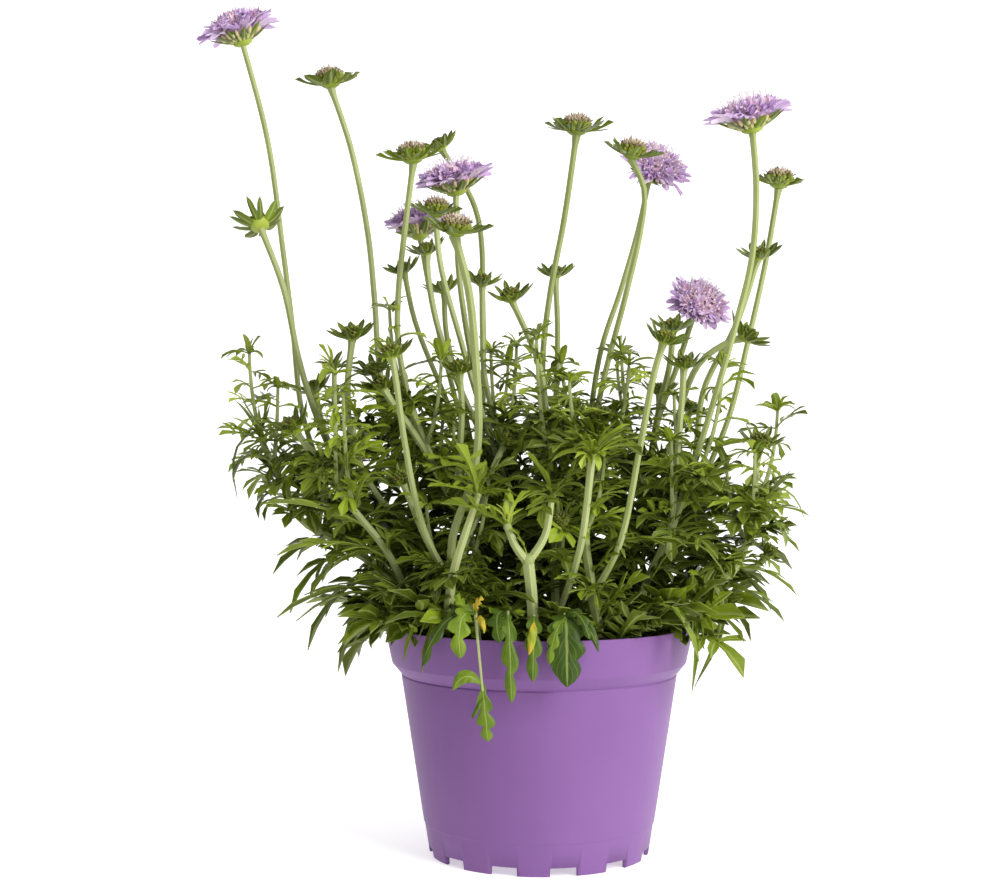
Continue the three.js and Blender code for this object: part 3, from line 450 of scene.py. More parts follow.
def bend(coordinates, base, middle, tip, width, up=(0, 0, 1), roll=0.0, twist=0.0, fold=0.2,
         thick=1.0):
    """Template coordinates laid along an arched rib: x goes across, y along and z up from the blade."""
    base, middle, tip, up = (np.array(p, float) for p in (base, middle, tip, up))
    across = coordinates[:, 0:1] * width
    along = coordinates[:, 1:2] / LEAF_LENGTH
    lift = coordinates[:, 2:3] * thick + np.abs(across) * fold
    point = on_arch(base, middle, tip, along)
    tangent = along_arch(base, middle, tip, along)
    tangent /= np.linalg.norm(tangent, axis=1, keepdims=True)
    flat = np.cross(tip - base, up)
    flat /= np.linalg.norm(flat)
    side = flat - tangent * (tangent @ flat)[:, None]
    side /= np.linalg.norm(side, axis=1, keepdims=True)
    turn = roll + twist * along
    side = side * np.cos(turn) + np.cross(tangent, side) * np.sin(turn)
    return point + side * across + np.cross(side, tangent) * lift


def add_copy(bm, shape, coordinates, material, age):
    """Adds a copy of a template with its own coordinates, material number and age."""
    shape.vertices.foreach_set("co", np.asarray(coordinates, dtype=np.float32).ravel())
    ages = np.full(len(shape.vertices), age, dtype=np.float32)
    shape.attributes["age"].data.foreach_set("value", ages)
    materials = np.full(len(shape.polygons), material, dtype=np.int32)
    shape.polygons.foreach_set("material_index", materials)
    bm.from_mesh(shape)


def add_leaf(bm, base, middle, tip, lobes, width, pick=0, material=1, age=0.2, **bent):
    """A leaf of the given cut on an arched rib; width is how far its lobes reach."""
    if lobes == 0:
        mesh, coordinates = LANCE
        across = width
    else:
        mesh, coordinates = CUT_LEAVES[lobes][pick % 3]
        across = width / LOBE_REACH
    length = np.linalg.norm(np.subtract(tip, base))
    thick = min(1.0, max(0.5, length / LEAF_LENGTH))
    add_copy(bm, mesh, bend(coordinates, base, middle, tip, across, thick=thick, **bent), material, age)


# Leafy stems: hairy, finely ridged herbaceous stems that stand in the soil and fork at leaf nodes.
# Each fork sends up a bare flower stalk that ends in a green star bud, a spent disc or a bloom.
STEM_SIDES = 12
RIDGE_DEPTH = 0.05
STALK_RADIUS = 1.25
STEM_TAPER = 0.2
COLLAR_HEIGHT = 1.5
STEP_LENGTH = 4.5
STEM, LEAF, BEAD = 0, 1, 2
GOLDEN_TURN = pi * (3 - 5 ** 0.5)
UP = Vector((0, 0, 1))
RISE = np.array((0.0, 0.0, 1.0))

BLOOM_HEADS = {
    "bloom_1": dict(at=(-127, 0, 347), faces=(-0.3, -0.12, 0.94), size=18.4, seat=-5.6, pins=3.4),
    "bloom_2": dict(at=(88, -10, 305), faces=(-0.2, -0.1, 0.97), size=20, seat=-2),
    "bloom_3": dict(at=(-36, 15, 284), faces=(-0.2, -0.1, 0.97), size=19.5, seat=-3.5),
    "bloom_4": dict(at=(-53, 45, 268), faces=(-0.15, 0.1, 0.97), size=16, seat=-3),
    "bloom_5": dict(at=(50, 25, 290), faces=(0.35, -0.6, 0.72), size=18.5, seat=-2),
    "bloom_6": dict(at=(69, 21, 230), faces=(0.3, -0.72, 0.62), size=16.5, seat=-2),
}
DISC_HEADS = {
    "seed_disc_1": dict(at=(-89, 10, 326), faces=(-0.12, -0.1, 0.98), size=13.5),
    "seed_disc_2": dict(at=(-52, -25, 288), faces=(-0.1, -0.12, 0.98), size=13.5),
    "seed_disc_3": dict(at=(-34, -45, 256), faces=(0.15, -0.25, 0.95), size=13.5, stalk=1.6),
    "seed_disc_4": dict(at=(-43, -10, 268), faces=(0.1, -0.1, 0.98), size=11),
    "seed_disc_5": dict(at=(16, 0, 304), faces=(0.05, -0.12, 0.98), size=13.5),
    "seed_disc_6": dict(at=(39, -5, 293), faces=(0.2, -0.12, 0.96), size=12.5),
    "seed_disc_7": dict(at=(103, 10, 283), faces=(0.1, -0.1, 0.98), size=13, spread=0.86),
}
HEADS = BLOOM_HEADS | DISC_HEADS
# Each stem: its foot and radius, the knots that it runs through, its stalks, its leaves in the open,
# and how many other leaves it has, between which shares of its length and how long. A stalk is the
# share where it forks off, its knots and its head's name, or its star's place, facing and size. A
# leaf in the open is the share where it springs, its tip, the height of its bow, its cut and width.
LEAFY_STEMS = [
    dict(
        root=(-44, -6), radius=1.7,
        run=[
            (-54, -6, 109), (-67, -6, 119), (-85, -6, 131), (-100, -8, 140), (-108, -8, 156), (-116, -8, 173),
        ],
        stalks=[
            (0.48, [(-92, 4, 158), (-101, 9, 185), (-105, 10, 220), (-109, 8, 254), (-115, 4, 300)],
             "bloom_1"),
        ],
        open_leaves=[
            (0.98, (-134, -12, 178), 5, 2, 5), (0.95, (-126, -14, 189), 4, 0, 2.6),
            (1, (-114, -4, 190), 2, 1, 4), (0.8, (-126, -12, 160), 6, 2, 5),
            (0.62, (-112, -26, 146), 6, 2, 5), (0.75, (-123, 3, 170), 5, 2, 5),
        ],
        leaves=3, span=(0.15, 0.7), length=(30, 44),
    ),
    dict(
        root=(-34, 16), radius=1.7, run=[(-42, 18, 105), (-59, 16, 119), (-74, 12, 139), (-87, 8, 164)],
        stalks=[
            (0.97, [(-95, 0, 186), (-101, -3, 207), (-107, -5, 236)],
             (-117, -6, 263), (-0.3, 0.55, 0.75), 10.5),
            (0.7, [(-84, 18, 158), (-93, 20, 178)], (-97, 20, 195), (-0.4, 0, 0.9), 9),
        ],
        open_leaves=[(0.75, (-106, 36, 142), 12, 3, 8)],
        leaves=5, span=(0.2, 0.95), length=(34, 52),
    ),
    dict(
        root=(-40, -26), radius=1.7,
        run=[(-50, -28, 104), (-64, -31, 131), (-79, -31, 149), (-89, -31, 163)],
        stalks=[(0.98, [(-95, -31, 171)], (-100, -31, 178), (-0.6, -0.3, 0.75), 10)],
        open_leaves=[
            (0.62, (-112, -34, 148), 8, 2, 6), (0.45, (-106, -36, 127), 12, 3, 7),
            (0.25, (-107, -32, 102), 16, 2, 5), (0.14, (-98, -36, 100), 22, 0, 3),
            (0.08, (-81, -42, 92), 12, 3, 6),
        ],
        leaves=3, span=(0.25, 0.9), length=(30, 44),
    ),
    dict(
        root=(-24, 2), radius=1.8, run=[(-29, 2, 107), (-42, 0, 124), (-52, 2, 147), (-63, 6, 177)],
        stalks=[
            (0.98, [(-68, 9, 205), (-70, 9, 233), (-73, 9, 262), (-80, 9, 297)], "seed_disc_1"),
            (0.5, [(-66, -12, 148), (-77, -17, 172), (-79, -19, 193)],
             (-77, -20, 216), (-0.1, -0.3, 0.95), 9.5),
            (0.8, [(-64, -2, 178), (-67, -7, 192)], (-69, -8, 202), (-0.2, -0.4, 0.85), 8.5),
        ],
        leaves=5, span=(0.15, 0.95), length=(34, 52),
    ),
    dict(
        root=(-18, -36), radius=2, run=[(-21, -37, 98), (-29, -39, 107), (-38, -41, 119)],
        stalks=[
            (0.96, [(-44, -43, 131), (-49, -45, 146), (-54, -49, 173), (-57, -51, 195)],
             (-59, -51, 207), (-0.15, -0.3, 0.9), 9),
            (0.62, [(-31, -36, 128), (-25, -31, 143), (-21, -25, 157)],
             (-14, -16, 172), (0.4, -0.2, 0.85), 9),
            (0.9, [(-35, -44, 135), (-28, -47, 155), (-25, -47, 173), (-26, -47, 205), (-29, -47, 233)],
             "seed_disc_3"),
            (0.98, [(-46, -38, 133), (-52, -35, 147)], (-56, -34, 157), (-0.3, -0.4, 0.8), 8.5),
        ],
        open_leaves=[(0.9, (-56, -46, 86), 16, 1, 4), (0.75, (-48, -55, 82), 20, 1, 4)],
        leaves=4, span=(0.3, 1), length=(28, 42),
    ),
    dict(
        root=(-10, -12), radius=1.8,
        run=[(-18, -14, 109), (-32, -17, 139), (-44, -18, 164), (-54, -19, 188)],
        stalks=[
            (0.98, [(-58, -20, 211), (-58, -22, 232), (-55, -24, 260)], "seed_disc_2"),
            (0.72, [(-53, -26, 178), (-60, -31, 188)], (-64, -33, 195), (-0.3, -0.3, 0.85), 8.5),
            (0.48, [(-33, -22, 160), (-32, -22, 185)], (-33, -21, 202), (0, -0.2, 0.95), 9),
        ],
        leaves=4, span=(0.15, 0.95), length=(30, 48),
    ),
    dict(
        root=(-16, 32), radius=1.8, run=[(-18, 34, 108), (-23, 36, 135), (-26, 34, 158)],
        stalks=[
            (0.98, [(-24, 24, 185), (-30, 14, 215), (-34, 10, 244), (-35, 12, 264)], "bloom_3"),
            (0.85, [(-34, 43, 182), (-46, 47, 230)], "bloom_4"),
            (0.98, [(-24, 40, 190), (-24, 45, 230), (-27, 45, 275)], (-43, 36, 303), (-0.4, -0.2, 0.9), 9),
            (0.9, [(-33, 32, 190), (-40, 28, 220)], (-41, 27, 239), (-0.2, 0, 0.95), 8.5),
            (0.94, [(-40, 37, 190), (-54, 37, 225)], (-59, 33, 248), (-0.3, -0.2, 0.9), 8),
        ],
        open_leaves=[(0.6, (-58, 58, 140), 14, 3, 8)],
        leaves=4, span=(0.15, 1), length=(34, 52),
    ),
    dict(
        root=(0, 12), radius=1.9, run=[(-3, 14, 115), (-11, 13, 150), (-17, 13, 175)],
        stalks=[
            (0.98, [(-23, 17, 200), (-24, 17, 222)], (-24, 16, 241), (0.1, -0.2, 0.95), 8.5),
            (0.72, [(-29, 3, 185), (-42, 3, 218), (-47, 9, 242)], (-48, 12, 254), (-0.2, -0.2, 0.95), 8.5),
            (0.6, [(-22, -2, 178), (-33, -8, 215), (-41, -11, 245)], "seed_disc_4"),
        ],
        leaves=5, span=(0.15, 1), length=(34, 50),
    ),
    dict(
        root=(6, -26), radius=1.9, run=[(6, -26, 105), (6, -25, 125), (5, -21, 155), (3, -17, 180)],
        stalks=[
            (0.98, [(0, -15, 203)], (-12, -15, 232), (-0.15, -0.3, 0.93), 9.5),
            (0.66, [(5, -10, 160)], (4, 0, 176), (0.1, 0.3, 0.9), 9),
            (0.38, [(8, -34, 130)], (8, -44, 141), (0, -0.7, 0.6), 7.5),
        ],
        leaves=5, span=(0.2, 0.95), length=(28, 44),
    ),
    dict(
        root=(10, 36), radius=1.8, run=[(10, 35, 108), (8, 32, 132), (5, 26, 165)],
        stalks=[
            (0.98, [(2, 17, 205), (5, 12, 235), (11, 8, 267)], "seed_disc_5"),
            (0.8, [(8, 32, 185), (9, 32, 220)], (8, 31, 246), (0, 0, 1), 8.5),
        ],
        open_leaves=[(0.6, (30, 66, 145), 14, 3, 8), (0.4, (6, 74, 118), 18, 3, 8)],
        leaves=5, span=(0.15, 1), length=(34, 52),
    ),
    dict(
        root=(20, 7), radius=1.9, run=[(20, 7, 110), (20, 8, 140), (21, 11, 175)],
        stalks=[
            (0.98, [(27, 15, 211), (36, 19, 238), (44, 24, 265)], "bloom_5"),
            (0.86, [(28, 5, 200), (37, 1, 235), (43, -1, 262), (44, -4, 278)], "seed_disc_6"),
        ],
        leaves=6, span=(0.15, 0.98), length=(30, 50),
    ),
    dict(
        root=(24, -36), radius=2.1,
        run=[(22, -36, 105), (18, -34, 130), (19, -30, 150), (23, -26, 172)],
        stalks=[
            (0.98, [], (25, -22, 182), (0, -0.2, 0.97), 11),
            (0.25, [(31, -41, 131), (39, -42, 169), (45, -42, 200)], (49, -42, 213), (0.3, -0.3, 0.9), 9),
        ],
        leaves=5, span=(0.15, 0.9), length=(28, 44),
    ),
    dict(
        root=(34, 22), radius=1.8, run=[(38, 22, 110), (43, 20, 135), (48, 17, 160)],
        stalks=[
            (0.98, [(52, 22, 180), (62, 25, 208)], "bloom_6"),
            (0.7, [(56, 2, 160), (60, -4, 188), (67, -8, 205), (78, -9, 213)],
             (86, -10, 216), (0.6, -0.2, 0.75), 10),
            (0.96, [(51, 6, 185), (55, -3, 205)], (56, -5, 220), (0, -0.2, 0.97), 9),
            (0.98, [(51, 14, 178)], (52, 12, 194), (0, -0.1, 0.99), 8),
            (0.9, [(58, 18, 172)], (66, 15, 186), (0.4, -0.1, 0.9), 8.5),
        ],
        open_leaves=[(0.6, (84, 48, 140), 16, 3, 8)],
        leaves=4, span=(0.15, 0.95), length=(34, 50),
    ),
    dict(
        root=(38, -13), radius=1.9, run=[(42, -13, 108), (52, -14, 130), (61, -18, 155)],
        stalks=[
            (0.98, [(71, -23, 189), (79, -26, 218), (86, -25, 246), (89, -18, 275)], "bloom_2"),
            (0.7, [(56, -21, 165), (58, -22, 190)], (59, -21, 204), (0, -0.3, 0.95), 8.5),
        ],
        leaves=5, span=(0.15, 0.98), length=(30, 48),
    ),
    dict(
        root=(47, 9), radius=1.8, run=[(50, 9, 105), (57, 8, 125), (66, 9, 145)],
        stalks=[
            (0.98, [(72, 14, 158), (82, 15, 182), (91, 18, 216), (99, 20, 251)], "seed_disc_7"),
            (0.9, [(67, 5, 170), (70, 4, 194), (84, 5, 222)], (93, 2, 251), (-0.1, -0.3, 0.95), 9),
        ],
        open_leaves=[(0.9, (104, 26, 142), 14, 3, 8)],
        leaves=5, span=(0.2, 1), length=(32, 48),
    ),
    dict(
        root=(50, -16), radius=1.8,
        run=[(55, -17, 102), (64, -18, 108), (77, -17, 116), (86, -15, 132), (89, -13, 147)],
        stalks=[
            (0.98, [(90, -11, 160)], (92, -11, 172), (0.1, -0.3, 0.95), 9.5),
            (0.62, [(90, -10, 120)], (96, -9, 126), (0.7, -0.2, 0.6), 7.5),
        ],
        open_leaves=[
            (0.95, (111, -18, 142), 5, 2, 5), (1, (105, -6, 158), 5, 0, 2.4),
            (0.85, (106, -26, 128), 7, 1, 4), (0.6, (105, -24, 110), 8, 2, 5),
            (0.45, (99, -30, 100), 9, 2, 5), (0.3, (82, -36, 92), 7, 2, 5),
        ],
        leaves=3, span=(0.3, 0.95), length=(26, 40),
    ),
]


def smooth_curve(knots, divisions=200):
    """A centripetal curve through the knots: a function of the share of its length, and its length."""
    knots = [np.array(k, float) for k in knots]
    padded = [2 * knots[0] - knots[1], *knots, 2 * knots[-1] - knots[-2]]

    def point(t):
        place = min(t, 1) * (len(knots) - 1)
        i = min(int(place), len(knots) - 2)
        w = place - i
        p0, p1, p2, p3 = padded[i:i + 4]
        d0, d1, d2 = (np.sum((b - a) ** 2) ** 0.25 for a, b in ((p0, p1), (p1, p2), (p2, p3)))
        m1 = ((p1 - p0) / d0 - (p2 - p0) / (d0 + d1) + (p2 - p1) / d1) * d1
        m2 = ((p2 - p1) / d1 - (p3 - p1) / (d1 + d2) + (p3 - p2) / d2) * d1
        return p1 + m1 * w + (3 * (p2 - p1) - 2 * m1 - m2) * w ** 2 + (2 * (p1 - p2) + m1 + m2) * w ** 3

    shares = np.linspace(0, 1, divisions + 1)
    track = np.array([point(t) for t in shares])
    lengths = np.concatenate([[0], np.cumsum(np.linalg.norm(np.diff(track, axis=0), axis=1))])
    return lambda share: point(np.interp(share * lengths[-1], lengths, shares)), lengths[-1]


def paint(bm, verts, material, age):
    """Gives new vertices their age and the faces on them their material number."""
    layer = bm.verts.layers.float["age"]
    for vert in verts:
        vert[layer] = age
        for face in vert.link_faces:
            face.material_index = material


def add_tube(bm, points, radii, material, age, sides=STEM_SIDES):
    """A ridged tube with closed ends through the points, turned along them without twist."""
    last = len(points) - 1
    made = bmesh.ops.create_grid(bm, x_segments=sides, y_segments=last, size=0.5, calc_uvs=True)
    tangents = np.gradient(np.array(points), axis=0)
    tangents /= np.linalg.norm(tangents, axis=1, keepdims=True)
    side = np.array((1.0, 0.0, 0.0))
    frames = []
    for tangent in tangents:
        side = side - tangent * (side @ tangent)
        side /= np.linalg.norm(side)
        frames.append((side, np.cross(side, tangent)))
    faces = {face for vert in made["verts"] for face in vert.link_faces}
    for vert in made["verts"]:
        ring = round((vert.co.y + 0.5) * last)
        column = round((vert.co.x + 0.5) * sides)
        turn = column / sides * 2 * pi
        u, w = frames[ring]
        radius = radii[ring] * (1 + RIDGE_DEPTH * (1 if column % 2 else -1))
        vert.co = Vector(points[ring] + (u * cos(turn) + w * sin(turn)) * radius)
    paint(bm, made["verts"], material, age)
    bmesh.ops.remove_doubles(bm, verts=made["verts"], dist=1e-4)
    open_edges = [e for face in faces if face.is_valid for e in face.edges if e.is_boundary]
    caps = bmesh.ops.holes_fill(bm, edges=list(set(open_edges)), sides=0)["faces"]
    for face in caps:
        face.material_index = material
    bmesh.ops.recalc_face_normals(bm, faces=[f for f in faces if f.is_valid] + caps)


def towards(place, facing):
    """A matrix that stands a shape at a place with its Z axis along a direction."""
    turn = UP.rotation_difference(Vector(facing))
    return Matrix.Translation(place) @ turn.to_matrix().to_4x4()


def head_matrix(head):
    """Where a flower head stands and which way it faces, as one matrix."""
    return towards(head["at"], Vector(head["faces"]).normalized())


def raised(height):
    """A matrix that moves a shape up along its own Z axis."""
    return Matrix.Translation((0, 0, height))


def stretched(half_width, half_height):
    """A matrix that stretches a round shape to its half-width and half-height."""
    return Matrix.Diagonal((half_width, half_width, half_height, 1))


def add_ball(bm, matrix, material, age, subdivisions=1):
    """A small ball, stretched and placed by the matrix."""
    made = bmesh.ops.create_icosphere(bm, subdivisions=subdivisions, radius=1, matrix=matrix)
    paint(bm, made["verts"], material, age)


def dome_spots(count, radius, height, low=0.0):
    """Places spread evenly over a dome, each with the way that it faces, from the top down."""
    spots = []
    for i in range(count):
        share = (i + 0.5) / count
        level = 1 - (1 - low) * share
        turn = i * GOLDEN_TURN
        flat = (1 - level ** 2) ** 0.5
        place = Vector((radius * flat * cos(turn), radius * flat * sin(turn), height * level))
        facing = Vector((flat * cos(turn) / radius, flat * sin(turn) / radius, level / height)).normalized()
        spots.append((place, facing))
    return spots


def add_bracts(bm, head, count, inner, reach, rise, half_width, draw, split=False, seat=0.0):
    """A ring of narrow green bracts under a head, some of them split at the end."""
    stand = head_matrix(head) @ raised(seat)
    facing = stand.to_3x3() @ UP
    for i in range(count):
        turn = (i + draw(-0.2, 0.2)) / count * 2 * pi
        far = reach * draw(0.88, 1.04)
        up = (far - inner) * rise * draw(0.75, 1.25)
        out = Vector((cos(turn), sin(turn), 0))
        base = stand @ (out * inner * 0.75 + UP * -1.4)
        middle = stand @ (out * (inner + 0.45 * (far - inner)) + UP * (-1.2 + up * 0.2))
        tip = stand @ (out * far + UP * up)
        lobes = 1 if split and draw() < 0.75 else 0
        wide = half_width * draw(0.85, 1.2) * (1.9 if lobes else 1)
        add_leaf(bm, base, middle, tip, lobes, wide, pick=i, age=draw(0.0, 0.22), up=facing,
                 roll=draw(-0.4, 0.4), fold=0.35)


def add_star_bud(bm, head, draw):
    """An unopened head: a cup of narrow bracts round a button of tight green buds."""
    size = head["size"]
    stand = head_matrix(head)
    cup = size * 0.42
    add_ball(bm, stand @ stretched(cup, cup * 0.7), LEAF, 0.6, subdivisions=2)
    for place, facing in dome_spots(38, cup * 0.92, size * 0.34, low=0.1):
        grow = stretched(0.72, 1.15) * (size / 9)
        grow[3][3] = 1
        add_ball(bm, stand @ towards(place, facing) @ grow, BEAD, draw(0.0, 0.8))
    add_bracts(bm, head, 11, cup, size * 1.14, 0.62, 1.5 * size / 9, draw)


def add_disc_cup(bm, head, draw):
    """The green part of a spent head: broad spreading bracts and a ring of ribbed yellow-green seeds."""
    size = head["size"]
    stand = head_matrix(head)
    cup = size * 0.46
    add_ball(bm, stand @ raised(-0.8) @ stretched(cup * 0.7, 2.4), LEAF, 0.3, subdivisions=2)
    for count, out, level, tilt in ((15, 0.86, 0.2, 0.8), (14, 0.8, 1.9, 0.6), (11, 0.62, 3.1, 0.4)):
        for i in range(count):
            turn = (i + 0.5 * (count % 2)) / count * 2 * pi
            place = Vector((cup * out * cos(turn), cup * out * sin(turn), level))
            facing = Vector((cos(turn) * tilt, sin(turn) * tilt, 1)).normalized()
            grow = stretched(0.12 * cup + 0.42, 1.7)
            add_ball(bm, stand @ towards(place, facing) @ grow, BEAD, draw(0.75, 1.0))
    spread = size * head.get("spread", 1.1)
    add_bracts(bm, head, 8, cup * 0.7, spread, 0.3, 2.9 * size / 13, draw, split=True)


def add_bloom_cup(bm, head, draw):
    """The green part of a bloom: slim dark bracts that spread under its petals."""
    size = head["size"]
    seat = head["seat"]
    stand = head_matrix(head) @ raised(seat)
    cup = size * 0.24
    add_ball(bm, stand @ raised(-0.9) @ stretched(cup, 2.2), LEAF, 0.5, subdivisions=2)
    add_bracts(bm, head, 10, cup * 0.7, size * 0.72, 0.36, 1.6, draw, seat=seat)


LOWEST_TIP = 66
OPEN_SHARES = (0.3, 0.5, 0.7, 0.85, 1.0)


def in_the_open(base, middle, tip, room=5.0):
    """Whether a leaf stays in the plant's own space and crosses neither the soil nor the pot's wall."""
    for share in OPEN_SHARES:
        place = on_arch(base, middle, tip, share)
        far = hypot(place[0], place[1])
        if place[2] < SOIL_HEIGHT + 3 and far < RIM_RADIUS + 4:
            return False
        if place[2] < POT_HEIGHT + 2.5 and RIM_RADIUS - 5 < far < RIM_RADIUS + 4:
            return False
        if place[2] < POT_HEIGHT + 4 and place[1] < -0.7 * far and far > RIM_RADIUS - 6:
            return False
        if not all(cad_low[k] / MM + room < place[k] < cad_high[k] / MM - room for k in range(2)):
            return False
    return tip[2] > LOWEST_TIP


def level_way(heading):
    """The level direction of a heading."""
    return np.array((cos(heading), sin(heading), 0.0))


def drawn_leaf(base, length, draw, heading=None, droop=0.0):
    """A leaf that leaves its base at a steep angle and bows over, on a random heading."""
    heading = draw() * 2 * pi if heading is None else heading
    long = length[0] + (length[1] - length[0]) * draw()
    start = 0.25 + 0.85 * draw()
    end = start - 0.5 - 0.8 * draw() - droop
    out = level_way(heading)
    middle = base + out * cos(start) * long * 0.5 + RISE * sin(start) * long * 0.5
    tip = middle + out * cos(end) * long * 0.5 + RISE * sin(end) * long * 0.5
    lobes = 2 + int(draw() * 2)
    width = long * (0.17 + 0.07 * draw())
    roll = (draw() - 0.5) * 0.8
    return dict(base=base, middle=middle, tip=tip, lobes=lobes, width=width, roll=roll)


def add_tuft_leaf(bm, base, heading, reach, slope, draw, lobes):
    """A leaf of a tuft: it leaves the stem at a slope, on a heading, and bows over at its end."""
    out = level_way(heading)
    middle = base + (out * cos(slope) + RISE * sin(slope)) * reach * 0.5
    droop = slope - draw(0.4, 1.8)
    tip = middle + (out * cos(droop) + RISE * sin(droop)) * reach * 0.5
    if in_the_open(base, middle, tip, room=2.5):
        width = reach * draw(0.22, 0.32) if lobes else reach * 0.07 + 0.9
        add_leaf(bm, base, middle, tip, lobes, width, pick=round(reach),
                 age=draw(0.1, 0.8) * min(1, 16 / reach), roll=draw(-0.5, 0.5))


def scatter_leaves(bm, draw, count, tries, new_leaf, oldest, turn):
    """Adds leaves one by one, each drawn again up to a number of tries until it stays in the open."""
    for i in range(count):
        for _ in range(tries):
            leaf = new_leaf(i)
            if in_the_open(leaf["base"], leaf["middle"], leaf["tip"]):
                add_leaf(bm, pick=i, age=draw(0.0, oldest), twist=draw(-turn, turn), **leaf)
                break


EXTRA_LEAVES = 34
EXTRA_LENGTH = (18, 36)
ROOT_LEAVES = 6
ROOT_LENGTH = (26, 48)
INNER_LEAVES = 14
INNER_LENGTH = (26, 42)
LEAF_TRIES = 12
TUFT_LEAVES = 8
SIDE_SHOOTS = 3
SHOOT_TUFT = 7
STEM_SEEDS = 900
MAX_DRAWS = 60
NODE_SEEDS = 10000
LEAF_SEEDS = 100
FOUND_WITHIN = 0.6
STAR_SINK = 0.8
HEAD_SINK = 2.6


